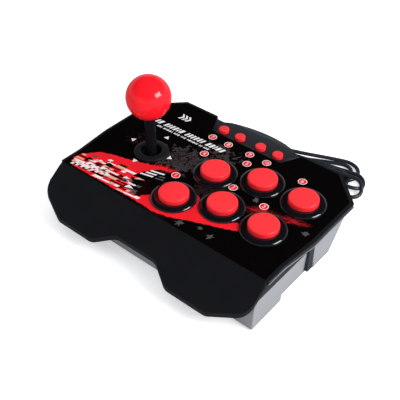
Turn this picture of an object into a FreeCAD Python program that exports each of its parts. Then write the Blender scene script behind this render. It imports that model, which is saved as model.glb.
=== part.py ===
import FreeCAD, Part
import math
import os
import re
import Sketcher

# A tabletop arcade joystick: a ball-top lever at the left, six large push buttons at the right,
# four small buttons on a sloping ledge at the back, a raked palm rest in front and a lead with its plug.
# Millimetres, +Z up, +Y away from the player; the origin is on the table under the middle of the case.

doc = FreeCAD.newDocument("joystick_controller")
sheet = doc.addObject("Spreadsheet::Sheet", "sizes")

SIZES = {
    # Case: heights over the table, then the plan of the panel
    "panel_top": 38.8,
    "base_bottom": 0.8,
    "overlay_thick": 0.4,
    "plate_thick": 2.4,
    "skirt_height": 4.0,
    "cover_wall": 3.0,
    "case_half": 104.2,
    "bend_half": 101.2,
    "skirt_half": 104.0,
    "skirt_bend": 100.4,
    "taper_start": -5.0,
    "taper_end": -37.0,
    "side_back": 47.8,
    "corner_half": 78.5,
    "back_edge": 73.0,
    "bend_line": -55.8,
    "rim_band": 3.2,
    # Palm rest: a raked apron with two lobes and a notch between them
    "palm_half": 100.2,
    "palm_drop": 23.0,
    "palm_front": -87.9,
    "palm_corner": -76.5,
    "lobe_outer": 73.0,
    "lobe_inner": 36.5,
    "notch_half": 19.4,
    "notch_line": -78.0,
    "palm_round": 12.0,
    # Ledge for the small buttons, running out over a bowed bulge at the back
    "ledge_front": 52.3,
    "ledge_front_half": 34.5,
    "ledge_back_half": 44.9,
    "ledge_crease": 76.7,
    "ledge_fall": 4.0,
    "bulge_half": 37.5,
    "bulge_back": 87.9,
    "bulge_fall": 8.5,
    "bulge_split": 14.0,
    "bulge_inset": 1.2,
    "bulge_floor": 6.8,
    # Base: drafted walls, a raised stretch between the feet, side ribs
    "base_split": 27.6,
    "band_inset": 0.6,
    "base_wall": 2.4,
    "base_floor": 2.4,
    "base_half_low": 99.7,
    "base_half_high": 101.2,
    "base_front": -70.0,
    "base_side_back_low": 28.0,
    "base_side_back_high": 47.8,
    "base_corner_low": 70.0,
    "base_corner_high": 77.0,
    "base_back_low": 60.0,
    "base_back_high": 71.2,
    "arch_front": -36.0,
    "arch_back": 6.0,
    "arch_height": 7.0,
    "arch_depth": 9.0,
    "rib_face": 102.8,
    "rib_middle": -5.0,
    "rib_width": 7.2,
    "rib_bottom": 9.8,
    "rib_round": 1.4,
    # Screw posts, screws and feet
    "post_side": 79.0,
    "post_back": 42.0,
    "post_front_side": 92.0,
    "post_front": -46.0,
    "post_mid_side": 32.0,
    "post_mid_front": -60.0,
    "post_radius": 4.0,
    "post_joint": 14.0,
    "screw_radius": 1.4,
    "screw_head_radius": 2.6,
    "screw_head_height": 2.0,
    "screw_depth": 8.0,
    "screw_length": 13.0,
    "screw_well": 3.1,
    "foot_radius": 7.0,
    "foot_side": 84.0,
    "foot_front": -56.0,
    "foot_back": 22.0,
    "foot_recess": 1.0,
    # Lever
    "stick_side": -53.6,
    "stick_row": -1.9,
    "pivot_depth": 15.5,
    "ball_radius": 17.6,
    "ball_height": 51.3,
    "ball_flat": 17.0,
    "ball_bore_depth": 19.0,
    "shaft_radius": 3.0,
    "shaft_below": 15.8,
    "sleeve_radius": 4.3,
    "dome_radius": 13.2,
    "dome_thick": 1.8,
    "dome_skirt": 6.0,
    "collar_radius": 14.1,
    "collar_hole": 8.4,
    "collar_height": 2.3,
    "collar_bevel": 0.8,
    "stick_hole": 9.0,
    "gimbal_hole": 7.5,
    "gimbal_radius": 10.5,
    "gimbal_height": 6.0,
    "pin_radius": 1.6,
    "pin_play": 0.05,
    "box_inside": 14.8,
    "box_wall": 4.0,
    "box_height": 23.5,
    "gate_thick": 2.0,
    "gate_opening": 7.3,
    "actuator_radius": 5.0,
    "actuator_top": 8.8,
    "actuator_height": 5.2,
    "clip_radius": 4.6,
    "clip_thick": 0.8,
    "spring_radius": 5.0,
    "spring_wire": 0.9,
    "spring_turns": 3.0,
    "spring_top": 3.2,
    "switch_long": 12.8,
    "switch_wide": 5.8,
    "switch_tall": 6.4,
    "switch_reach": 7.4,
    # Large push buttons: places of the front row and the step to the back row
    "button_one_x": -2.3,
    "button_one_y": -32.8,
    "button_two_x": 32.1,
    "button_two_y": -18.3,
    "button_three_x": 69.0,
    "button_three_y": -18.0,
    "row_step_x": 6.3,
    "row_step_y": 41.3,
    "bezel_radius": 17.7,
    "bezel_height": 2.6,
    "bezel_crown": 1.9,
    "bezel_bore": 12.0,
    "barrel_radius": 13.6,
    "barrel_depth": 13.0,
    "barrel_play": 0.2,
    "bead_size": 0.8,
    "ledge_depth": 4.5,
    "flange_bore": 12.8,
    "plunger_radius": 11.6,
    "plunger_rise": 6.5,
    "plunger_round": 1.3,
    "plunger_roof": 2.4,
    "plunger_wall": 1.5,
    "plunger_flange": 12.5,
    "flange_gap": 0.3,
    "flange_thick": 1.5,
    "stem_radius": 3.2,
    "stem_depth": 8.5,
    "dome_gap": 0.1,
    "rubber_radius": 7.5,
    "rubber_tip": 3.8,
    "rubber_wall": 1.2,
    # Small buttons
    "cap_outer_x": 27.3,
    "cap_inner_x": 10.4,
    "cap_row": 59.1,
    "cap_radius": 4.35,
    "cap_rise": 1.9,
    "cap_round": 0.8,
    "cap_play": 0.3,
    "cap_flange": 5.4,
    "cap_flange_depth": 5.2,
    "cap_flange_thick": 1.2,
    "cap_stem": 2.0,
    "cap_clearance": 1.3,
    "tact_side": 6.0,
    "tact_height": 5.0,
    # Circuit board
    "board_top": 22.6,
    "board_thick": 1.6,
    "board_left": -24.0,
    "board_right": 85.0,
    "board_front": -50.0,
    "board_back": 36.0,
    "board_tab_half": 34.5,
    "board_tab_back": 63.2,
    "standoff_radius": 3.0,
    "standoff_inset": 4.5,
    "chip_side": 9.0,
    "chip_height": 1.6,
    # Lead
    "lead_radius": 1.65,
    "lead_exit": 15.0,
    "lead_turn": 28.0,
    "relief_radius": 4.2,
    "relief_tip": 2.9,
    "relief_length": 10.0,
    "relief_flange": 5.6,
    "relief_groove": 1.2,
    "relief_play": 0.4,
    "hank_x": 4.0,
    "hank_y": 98.6,
    "hank_height": 10.5,
    "hank_turn": 8.0,
    "hank_round": 6.0,
    "waist_half": 7.0,
    "waist_long": 28.0,
    "lobe_reach": 54.5,
    "lobe_half": 12.7,
    "fan_reach": 80.3,
    "fan_back": 27.4,
    "fan_front": 18.8,
    "tie_width": 6.0,
    "tie_thick": 1.0,
    "plug_long": 24.0,
    "plug_wide": 15.0,
    "plug_tall": 8.0,
    "plug_round": 2.4,
    "plug_shell_long": 12.0,
    "plug_shell_wide": 12.0,
    "plug_shell_tall": 4.5,
    "plug_shell_wall": 0.4,
    "plug_insert_heel": 3.0,
    "plug_window": 2.2,
}

for row, (alias, size) in enumerate(SIZES.items(), start=1):
    sheet.set(f"A{row}", str(size))
    sheet.setAlias(f"A{row}", alias)
doc.recompute()


def formula(text):
    """Turn a formula in size names into one that refers to the sheet."""
    return re.sub(r"[a-z_]+", lambda word: f"sizes.{word[0]}" if word[0] in SIZES else word[0], str(text))


def number(text):
    """The present value of a formula in size names."""
    return float(sheet.evalExpression(formula(text)))


def bind(thing, **formulas):
    """Hold properties of an object at formulas in size names."""
    for name, text in formulas.items():
        thing.setExpression(name, formula(text))


def put(thing, x="0", y="0", z="0"):
    """Hold the place of an object at formulas in size names."""
    for axis, text in zip("xyz", (x, y, z)):
        thing.setExpression(f"Placement.Base.{axis}", formula(text))
    return thing


def minus(text):
    return f"-({text})"


def mirrored(points):
    """Complete a symmetric outline from its right half, listed from front to back."""
    return points + [(minus(x), y) for x, y in reversed(points)]


def draw(sketch, points):
    """A closed polygon whose corners are held at formulas for both coordinates."""
    spots = [FreeCAD.Vector(number(u), number(v), 0) for u, v in points]
    count = len(points)
    for i in range(count):
        sketch.addGeometry(Part.LineSegment(spots[i], spots[(i + 1) % count]), False)
    for i in range(count):
        sketch.addConstraint(Sketcher.Constraint("Coincident", i, 2, (i + 1) % count, 1))
    for i, corner in enumerate(points):
        for kind, axis, text in (("DistanceX", -2, corner[0]), ("DistanceY", -1, corner[1])):
            if text == "0":
                sketch.addConstraint(Sketcher.Constraint("PointOnObject", i, 1, axis))
                continue
            held = sketch.addConstraint(Sketcher.Constraint(kind, -1, 1, i, 1, number(text)))
            sketch.setExpression(f"Constraints[{held}]", formula(text))
    return sketch


def loose_sketch(name, points, z="0"):
    """A level outline outside any body, at height z."""
    sketch = doc.addObject("Sketcher::SketchObject", name)
    put(sketch, z=z)
    return draw(sketch, points)


def prism(name, points, low, high):
    """A plan outline raised from one height to another."""
    solid = doc.addObject("Part::Extrusion", name)
    solid.Base = loose_sketch(f"{name}_outline", points, low)
    solid.DirMode = "Custom"
    solid.Dir = FreeCAD.Vector(0, 0, 1)
    solid.Solid = True
    bind(solid, LengthFwd=f"({high}) - ({low})")
    return solid


def slab(name, points, half):
    """A side outline in Y and Z, drawn out to both sides of the middle plane."""
    sketch = doc.addObject("Sketcher::SketchObject", f"{name}_outline")
    sketch.Placement.Rotation = FreeCAD.Rotation(FreeCAD.Vector(1, 1, 1), 120)
    draw(sketch, points)
    solid = doc.addObject("Part::Extrusion", name)
    solid.Base = sketch
    solid.DirMode = "Custom"
    solid.Dir = FreeCAD.Vector(1, 0, 0)
    solid.Solid = True
    solid.Symmetric = True
    bind(solid, LengthFwd=f"2 * ({half})")
    return solid


def skin(name, low_points, low, high_points, high):
    """A solid with flat drafted walls between two level outlines."""
    solid = doc.addObject("Part::Loft", name)
    solid.Sections = [
        loose_sketch(f"{name}_low", low_points, low),
        loose_sketch(f"{name}_high", high_points, high),
    ]
    solid.Solid = True
    solid.Ruled = True
    return solid


def block(name, x, y, z):
    """A box given by the two ends of each of its three extents."""
    solid = doc.addObject("Part::Box", name)
    bind(
        solid,
        Length=f"({x[1]}) - ({x[0]})",
        Width=f"({y[1]}) - ({y[0]})",
        Height=f"({z[1]}) - ({z[0]})",
    )
    return put(solid, x[0], y[0], z[0])


def rod(name, radius, low, high, x="0", y="0"):
    """An upright cylinder between two heights."""
    solid = doc.addObject("Part::Cylinder", name)
    bind(solid, Radius=radius, Height=f"({high}) - ({low})")
    return put(solid, x, y, low)


def fuse(name, pieces):
    solid = doc.addObject("Part::MultiFuse", name)
    solid.Shapes = pieces
    return solid


def common(name, first, second):
    solid = doc.addObject("Part::MultiCommon", name)
    solid.Shapes = [first, second]
    return solid


def cut(name, base, tool):
    solid = doc.addObject("Part::Cut", name)
    solid.Base = base
    solid.Tool = tool
    return solid


def plane_of(body, role):
    return next(plane for plane in body.Origin.OriginFeatures if plane.Role == role)


def body_sketch(body, name, role, points):
    """An outline on one of a body's own origin planes."""
    sketch = body.newObject("Sketcher::SketchObject", name)
    sketch.AttachmentSupport = [(plane_of(body, role), "")]
    sketch.MapMode = "FlatFace"
    return draw(sketch, points)


def turned(name, points, x="0", y="0", z="0"):
    """A body of revolution about an upright axis, from a section in radius and height."""
    body = doc.addObject("PartDesign::Body", name)
    sketch = body_sketch(body, f"{name}_section", "XZ_Plane", points)
    turn = body.newObject("PartDesign::Revolution", f"{name}_turn")
    turn.Profile = sketch
    turn.ReferenceAxis = (sketch, ["V_Axis"])
    turn.Angle = 360
    put(body, x, y, z)
    return body


def padded(name, points, length, role="XY_Plane"):
    """A body with one outline raised off an origin plane."""
    body = doc.addObject("PartDesign::Body", name)
    pad = body.newObject("PartDesign::Pad", f"{name}_pad")
    pad.Profile = body_sketch(body, f"{name}_plan", role, points)
    bind(pad, Length=length)
    return body


def rounded(body, chosen, radius):
    """Round the edges of a body's last feature that a test picks out."""
    doc.recompute()
    base = body.Tip
    edges = [f"Edge{i}" for i, edge in enumerate(base.Shape.Edges, start=1) if chosen(edge)]
    feature = body.newObject("PartDesign::Fillet", f"{body.Name}_round")
    feature.Base = (base, edges)
    bind(feature, Radius=radius)
    return body


def upright(edge):
    """True for a straight edge along Z."""
    return len(edge.Vertexes) == 2 and abs(edge.tangentAt(edge.FirstParameter).z) > 0.999


def ring_at(height, radius):
    """A test for level circular edges at a height and of a radius."""
    def chosen(edge):
        if not isinstance(edge.Curve, Part.Circle):
            return False
        return abs(edge.Curve.Center.z - height) < 0.01 and abs(edge.Curve.Radius - radius) < 0.01
    return chosen


# Heights and slopes that several pieces share
COVER_TOP = "panel_top - overlay_thick"
COVER_UNDER = "panel_top - overlay_thick - plate_thick"
SKIRT_FOOT = "panel_top - overlay_thick - skirt_height"
PALM_SLOPE = "palm_drop / (bend_line - palm_front)"
PIVOT = "panel_top - pivot_depth"
LEVER = ("stick_side", "stick_row")
FAR = "panel_top + 20"
BULGE_RADIUS = "(bulge_half ^ 2 + (bulge_back - back_edge) ^ 2) / (2 * (bulge_back - back_edge))"
BULGE_MIDDLE = f"bulge_back - {BULGE_RADIUS}"
BUTTONS = [
    (f"button_{count}_x + {step} * row_step_x", f"button_{count}_y + {step} * row_step_y")
    for step in (0, 1)
    for count in ("one", "two", "three")
]
CAPS = [(x, "cap_row") for x in ("-cap_outer_x", "-cap_inner_x", "cap_inner_x", "cap_outer_x")]
POSTS = [
    (side.format(place), row)
    for place, row in (
        ("post_side", "post_back"),
        ("post_front_side", "post_front"),
        ("post_mid_side", "post_mid_front"),
    )
    for side in ("{}", "-{}")
]


def palm_line(drop):
    """The rake of the palm rest in Y and Z, lowered by some amount, from the bend to the front."""
    return [("bend_line", f"{COVER_TOP} - ({drop})"), ("palm_front", f"{COVER_TOP} - palm_drop - ({drop})")]


def ledge_line(drop):
    """The fall of the back ledge in Y and Z, lowered by some amount, from its front to past the bulge."""
    past = "ledge_crease + 2 * (bulge_back - ledge_crease)"
    return [
        ("ledge_front", f"{COVER_TOP} - ({drop})"),
        ("ledge_crease", f"{COVER_TOP} - ledge_fall - ({drop})"),
        (past, f"{COVER_TOP} - ledge_fall - 2 * (bulge_fall - ledge_fall) - ({drop})"),
    ]


def ledge_plan(grow):
    """The trapezoid of the back ledge in plan, grown by some amount and carried past the bulge."""
    spread = "(ledge_back_half - ledge_front_half) / (back_edge - ledge_front)"
    past = "back_edge + 2 * (bulge_back - back_edge)"
    return mirrored([
        (f"ledge_front_half + ({grow})", f"ledge_front - ({grow})"),
        (f"ledge_back_half + ({grow})", "back_edge"),
        (f"ledge_back_half + ({grow}) + {spread} * (bulge_back - back_edge)", past),
    ])


def panel_plan(half, front_half, inset="0"):
    """The plan of the panel: sides that draw in ahead of the middle, and cut back corners."""
    return mirrored([
        (f"{front_half} - ({inset})", "bend_line"),
        (f"{front_half} - ({inset})", "taper_end"),
        (f"{half} - ({inset})", "taper_start"),
        (f"{half} - ({inset})", f"side_back - 0.4 * ({inset})"),
        (f"corner_half - 0.4 * ({inset})", f"back_edge - ({inset})"),
    ])


def palm_plan(inset):
    """The plan of the palm rest, drawn in by some amount."""
    return mirrored([
        (f"lobe_inner + 0.3 * ({inset})", f"palm_front + ({inset})"),
        (f"lobe_outer - 0.2 * ({inset})", f"palm_front + ({inset})"),
        (f"palm_half - ({inset})", f"palm_corner + 0.6 * ({inset})"),
        (f"palm_half - ({inset})", "bend_line + 2 * skirt_height"),
    ])[:4] + [
        (minus(f"palm_half - ({inset})"), "bend_line + 2 * skirt_height"),
        (minus(f"palm_half - ({inset})"), f"palm_corner + 0.6 * ({inset})"),
        (minus(f"lobe_outer - 0.2 * ({inset})"), f"palm_front + ({inset})"),
        (minus(f"lobe_inner + 0.3 * ({inset})"), f"palm_front + ({inset})"),
        (minus(f"notch_half + 0.3 * ({inset})"), f"notch_line + ({inset})"),
        (f"notch_half + 0.3 * ({inset})", f"notch_line + ({inset})"),
    ]


def bowed(name, radius, low, high):
    """The part of an upright drum behind the back edge."""
    drum = rod(f"{name}_drum", radius, low, high, y=BULGE_MIDDLE)
    behind = ("back_edge - 3 * cover_wall", "bulge_back")
    limit = block(f"{name}_limit", ("-case_half", "case_half"), behind, (low, high))
    return common(name, drum, limit)


def top_cover():
    """The upper moulding: plate with rim, palm rest, ledge and bulge, hollow below, with screw bosses."""
    rim = skin(
        "rim",
        panel_plan("skirt_half", "skirt_bend"),
        SKIRT_FOOT,
        panel_plan("case_half", "bend_half"),
        COVER_TOP,
    )
    apron = padded("apron", palm_plan("0"), FAR)
    rounded(apron, upright, "palm_round")
    flat_back = "bend_line + 2 * skirt_height"
    under = palm_line("skirt_height")[::-1] + [(flat_back, SKIRT_FOOT)]
    rake = slab("rake", [(flat_back, COVER_TOP)] + palm_line("0") + under, "case_half")
    bulge = bowed("bulge", BULGE_RADIUS, "panel_top - bulge_split", COVER_TOP)
    outside = fuse("cover_outside", [rim, common("palm", apron, rake), bulge])

    hollow_rim = prism(
        "hollow_rim",
        panel_plan("skirt_half", "skirt_bend", "cover_wall"),
        "panel_top - bulge_split",
        COVER_UNDER,
    )
    hollow_rake = slab(
        "hollow_rake",
        [(flat_back, COVER_UNDER)] + palm_line("plate_thick") + [("palm_front", "0"), (flat_back, "0")],
        "case_half",
    )
    hollow_apron = prism("hollow_apron", palm_plan("cover_wall"), "0", FAR)
    hollow_palm = common("hollow_palm", hollow_apron, hollow_rake)
    hollow_bulge = bowed(
        "hollow_bulge",
        f"{BULGE_RADIUS} - cover_wall",
        "panel_top - bulge_split",
        COVER_UNDER,
    )
    hollow = cut(
        "cover_hollow",
        fuse("cover_hollows", [hollow_rim, hollow_palm, hollow_bulge]),
        ledge_space("ledge_wall", "plate_thick", "cover_wall"),
    )
    shell = fuse("cover_shell", [cut("cover_hollowed", outside, hollow), cover_band()])
    shell = cut("cover_ledged", shell, ledge_space("ledge", "0", "0"))

    bosses = []
    pilots = []
    for i, (x, y) in enumerate(POSTS):
        fall = f"max(0; bend_line - ({y}) + post_radius) * {PALM_SLOPE}"
        crown = f"{COVER_TOP} - 0.5 * plate_thick - {fall}"
        bosses.append(rod(f"boss_{i}", "post_radius", "post_joint", crown, x, y))
        depth = "screw_depth + screw_length + screw_radius"
        pilots.append(rod(f"pilot_{i}", "screw_radius", "post_joint", depth, x, y))
    holes = [
        rod(f"button_hole_{i}", "barrel_radius + barrel_play", "post_joint", FAR, x, y)
        for i, (x, y) in enumerate(BUTTONS)
    ]
    holes += [
        rod(f"cap_hole_{i}", "cap_radius + cap_play", "post_joint", FAR, x, y)
        for i, (x, y) in enumerate(CAPS)
    ]
    holes.append(rod("lever_hole", "stick_hole", "post_joint", FAR, *LEVER))
    return cut("top_cover", fuse("cover_bossed", [shell] + bosses), fuse("cover_holes", holes + pilots))


def cover_band():
    """The upright band under the rim that stands on the walls of the base, a little inside their faces."""
    outside = skin(
        "band_outside",
        base_plan("low", "band_inset"),
        "base_bottom",
        base_plan("high", "band_inset"),
        COVER_UNDER,
    )
    inside = skin(
        "band_inside",
        base_plan("low", "base_wall"),
        "base_bottom",
        base_plan("high", "base_wall"),
        COVER_UNDER,
    )
    level = block(
        "band_level",
        ("-case_half", "case_half"),
        ("palm_front", "back_edge"),
        ("base_split", COVER_UNDER),
    )
    over = palm_line("0.5 * plate_thick") + [("palm_front", FAR), ("bend_line", FAR)]
    ring = cut("band_ring", common("band_blank", outside, level), inside)
    return cut("band", ring, slab("over_band", over, "case_half"))


def ledge_space(name, drop, grow):
    """Everything above the ledge surface, lowered by some amount, inside its plan."""
    line = ledge_line(drop)
    side = slab(f"{name}_side", line + [(line[-1][0], FAR), (line[0][0], FAR)], "case_half")
    front = block(
        f"{name}_front",
        ("-case_half", "case_half"),
        (f"ledge_front - 2 * ({grow}) - 1", "ledge_front"),
        (f"{COVER_TOP} - ({drop})", FAR),
    )
    plan = prism(f"{name}_plan", ledge_plan(grow), "base_bottom", FAR)
    return common(name, plan, fuse(f"{name}_above", [side, front]))


def base_plan(level, inset="0"):
    """The plan of the base at its lower or upper edge, drawn in by some amount."""
    return mirrored([
        (f"base_half_{level} - ({inset})", f"base_front + ({inset})"),
        (f"base_half_{level} - ({inset})", f"base_side_back_{level} - 0.4 * ({inset})"),
        (f"base_corner_{level} - 0.4 * ({inset})", f"base_back_{level} - ({inset})"),
    ])


def arch(name, grow, side):
    """The raised stretch of the lower edge between the feet, on one side."""
    inner = f"base_half_low - arch_depth - ({grow})"
    outer = "base_half_low + arch_depth"
    x = (inner, outer) if side > 0 else (minus(outer), minus(inner))
    return block(
        f"{name}_{'right' if side > 0 else 'left'}",
        x,
        (f"arch_front - ({grow})", f"arch_back + ({grow})"),
        ("0", f"base_bottom + arch_height + ({grow})"),
    )


def base_shell():
    """The lower moulding: drafted walls, floor, posts for screws and board, and a cable outlet."""
    outside = skin("base_outside", base_plan("low"), "base_bottom", base_plan("high"), COVER_UNDER)
    over_palm = slab(
        "over_palm",
        palm_line("skirt_height") + [("palm_front", FAR), ("bend_line", FAR)],
        "case_half",
    )
    bulge = bowed("base_bulge", f"{BULGE_RADIUS} - bulge_inset", "bulge_floor", "panel_top - bulge_split")
    arches = fuse("arches", [arch("arch", "0", side) for side in (1, -1)])
    over_wall = block(
        "over_wall",
        ("-case_half", "case_half"),
        ("palm_front", "back_edge"),
        ("base_split", FAR),
    )
    walls = cut("base_raked", outside, fuse("over_base", [over_palm, over_wall]))
    outside = fuse("base_body", [walls, bulge])

    hollow = skin(
        "base_hollow",
        base_plan("low", "base_wall"),
        "base_bottom + base_floor",
        base_plan("high", "base_wall"),
        COVER_UNDER,
    )
    kept = fuse("arch_walls", [arch("arch_wall", "base_wall", side) for side in (1, -1)])
    hollow_bulge = bowed(
        "base_hollow_bulge",
        f"{BULGE_RADIUS} - bulge_inset - base_wall",
        "bulge_floor + base_wall",
        "panel_top - bulge_split",
    )
    hollow = fuse("base_hollows", [cut("base_hollow_arched", hollow, kept), hollow_bulge])
    shell = cut("base_shelled", cut("base_arched", outside, arches), hollow)

    over_tongue = palm_line("plate_thick") + [("palm_front", FAR), ("bend_line", FAR)]
    tongue = cut(
        "tongue",
        block(
            "tongue_blank",
            ("-(palm_half - cover_wall - pin_radius)", "palm_half - cover_wall - pin_radius"),
            ("base_front", "base_front + base_wall"),
            ("base_bottom", COVER_TOP),
        ),
        slab("over_tongue", over_tongue, "case_half"),
    )
    posts = [
        rod(f"post_{i}", "post_radius", "base_bottom", "post_joint", x, y)
        for i, (x, y) in enumerate(POSTS)
    ]
    standoffs = [
        rod(f"standoff_{i}", "standoff_radius", "base_bottom", "board_top - board_thick", x, y)
        for i, (x, y) in enumerate(
            (f"{side}", f"{end}")
            for side in ("board_left + standoff_inset", "board_right - standoff_inset")
            for end in ("board_front + standoff_inset", "board_back - standoff_inset")
        )
    ]
    wells = [rod(f"well_{i}", "screw_well", "0", "screw_depth", x, y) for i, (x, y) in enumerate(POSTS)]
    wells += [
        rod(f"screw_way_{i}", "screw_radius", "0", "post_joint", x, y)
        for i, (x, y) in enumerate(POSTS)
    ]
    wells += [
        rod(f"foot_seat_{i}", "foot_radius", "0", "base_bottom + foot_recess", x, y)
        for i, (x, y) in enumerate(feet())
    ]
    outlet = doc.addObject("Part::Cylinder", "outlet")
    bind(outlet, Radius="relief_radius", Height="bulge_back")
    at_outlet(outlet, "-4 * base_wall")
    whole = fuse("base_posted", [shell, tongue] + posts + standoffs)
    whole = cut("base_under_ledge", whole, ledge_space("base_ledge", "plate_thick", "cover_wall"))
    return cut("base_shell", whole, fuse("base_holes", wells + [outlet]))


def side_strips():
    """A raised strip up the middle of each side wall, rounded at its foot."""
    def at_foot(edge):
        rise = max(abs(vertex.Z - number("rib_bottom")) for vertex in edge.Vertexes)
        return rise < 0.01 and abs(edge.tangentAt(edge.FirstParameter).x) > 0.999

    depth = "rib_face - base_half_low + base_wall"
    for side, start in (("left", "-rib_face"), ("right", "base_half_low - base_wall")):
        front, back = "rib_middle - 0.5 * rib_width", "rib_middle + 0.5 * rib_width"
        blank = padded(
            f"strip_{side}",
            [(front, "rib_bottom"), (back, "rib_bottom"), (back, SKIRT_FOOT), (front, SKIRT_FOOT)],
            depth,
            "YZ_Plane",
        )
        rounded(blank, at_foot, "rib_round")
        put(blank, start)
        yield cut(f"side_strip_{side}", blank, doc.getObject("base_outside"))


def feet():
    return [(side, row) for row in ("foot_front", "foot_back") for side in ("-foot_side", "foot_side")]


def panel_overlay():
    """The printed sheet on the plate, cut round the ledge and for the lever and buttons."""
    sheet_blank = prism(
        "overlay_blank",
        panel_plan("case_half", "bend_half", "rim_band"),
        COVER_TOP,
        "panel_top",
    )
    holes = [
        rod(f"overlay_hole_{i}", "barrel_radius + 2 * barrel_play", "base_bottom", FAR, x, y)
        for i, (x, y) in enumerate(BUTTONS)
    ]
    holes.append(rod("overlay_lever_hole", "stick_hole", "base_bottom", FAR, *LEVER))
    holes.append(prism("overlay_ledge", ledge_plan("0"), "base_bottom", FAR))
    return cut("panel_overlay", sheet_blank, fuse("overlay_holes", holes))


def rubber_feet():
    """Four round pads let into the underside."""
    group = doc.addObject("Part::Compound", "rubber_feet")
    group.Links = [
        rod(f"foot_{i}", "foot_radius", "0", "base_bottom + foot_recess", x, y)
        for i, (x, y) in enumerate(feet())
    ]
    return group


def cover_screws():
    """Six pan-head screws driven from below, through the base posts into the cover bosses."""
    screws = []
    for i, (x, y) in enumerate(POSTS):
        foot = "screw_depth - screw_head_height"
        head = rod(f"head_{i}", "screw_head_radius", foot, "screw_depth", x, y)
        shank = rod(f"shank_{i}", "screw_radius", foot, "screw_depth + screw_length", x, y)
        screws.append(fuse(f"screw_{i}", [head, shank]))
    group = doc.addObject("Part::Compound", "cover_screws")
    group.Links = screws
    return group


def at_lever(thing, z="0"):
    return put(thing, *LEVER, z)


def lever():
    """The ball-top lever on its gimbal, in a box under the plate."""
    ball = doc.addObject("Part::Sphere", "ball")
    bind(ball, Radius="ball_radius")
    at_lever(ball, "panel_top + ball_height")
    flat = "panel_top + ball_height - ball_flat"
    under_ball = rod("under_ball", "ball_radius", "panel_top", flat, *LEVER)
    bore = rod("ball_bore", "shaft_radius", "panel_top", f"{flat} + ball_bore_depth", *LEVER)
    yield cut("ball_top", ball, fuse("ball_cuts", [under_ball, bore]))

    yield rod("stick_shaft", "shaft_radius", f"{PIVOT} - shaft_below", f"{flat} + ball_bore_depth", *LEVER)
    seat = f"{PIVOT} + (dome_radius ^ 2 - shaft_radius ^ 2) ^ 0.5"
    yield turned(
        "shaft_sleeve",
        [
            ("shaft_radius", seat),
            ("sleeve_radius", seat),
            ("sleeve_radius", flat),
            ("shaft_radius", flat),
        ],
        *LEVER,
    )
    outer = doc.addObject("Part::Sphere", "dome_outer")
    bind(outer, Radius="dome_radius")
    at_lever(outer, PIVOT)
    inner = doc.addObject("Part::Sphere", "dome_inner")
    bind(inner, Radius="dome_radius - dome_thick")
    at_lever(inner, PIVOT)
    below = rod("dome_below", "2 * dome_radius", f"{PIVOT} - dome_radius", f"{PIVOT} + dome_skirt", *LEVER)
    way = rod("dome_way", "shaft_radius", PIVOT, FAR, *LEVER)
    yield cut("dust_dome", outer, fuse("dome_cuts", [inner, below, way]))

    ring = turned(
        "gimbal_blank",
        [
            ("gimbal_hole", "-0.5 * gimbal_height"),
            ("gimbal_radius", "-0.5 * gimbal_height"),
            ("gimbal_radius", "0.5 * gimbal_height"),
            ("gimbal_hole", "0.5 * gimbal_height"),
        ],
        *LEVER,
        PIVOT,
    )
    clear = "gimbal_radius + 1"
    cross_way = level_rod("cross_way", "X", "pin_radius + pin_play", minus(clear), clear)
    pin_way = level_rod("pin_way", "Y", "pin_radius", minus(clear), clear)
    yield cut("gimbal_ring", ring, fuse("gimbal_ways", [cross_way, pin_way]))
    bite = "gimbal_radius - 2 * pin_radius / 3"
    cross = level_rod("cross_rod", "X", "pin_radius", "-gimbal_radius", "gimbal_radius")
    yield cut("cross_pin", cross, rod("cross_gap", "shaft_radius", f"{PIVOT} - 5", f"{PIVOT} + 5", *LEVER))
    reach = "box_inside + box_wall"
    pins = doc.addObject("Part::Compound", "gimbal_pins")
    pins.Links = [
        level_rod("pin_back", "Y", "pin_radius", bite, reach),
        level_rod("pin_front", "Y", "pin_radius", minus(reach), minus(bite)),
    ]
    yield pins


def level_rod(name, axis, radius, start, end):
    """A cylinder through the lever's pivot along X or Y, from one reach to another."""
    solid = doc.addObject("Part::Cylinder", name)
    bind(solid, Radius=radius, Height=f"({end}) - ({start})")
    along_x = axis == "X"
    turn = (FreeCAD.Vector(0, 1, 0), 90) if along_x else (FreeCAD.Vector(1, 0, 0), -90)
    solid.Placement.Rotation = FreeCAD.Rotation(*turn)
    x = f"stick_side + ({start})" if along_x else "stick_side"
    y = "stick_row" if along_x else f"stick_row + ({start})"
    return put(solid, x, y, PIVOT)


def around_lever(name, half, low, high):
    """A square block centred on the lever."""
    return block(
        name,
        (f"stick_side - ({half})", f"stick_side + ({half})"),
        (f"stick_row - ({half})", f"stick_row + ({half})"),
        (low, high),
    )


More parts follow.
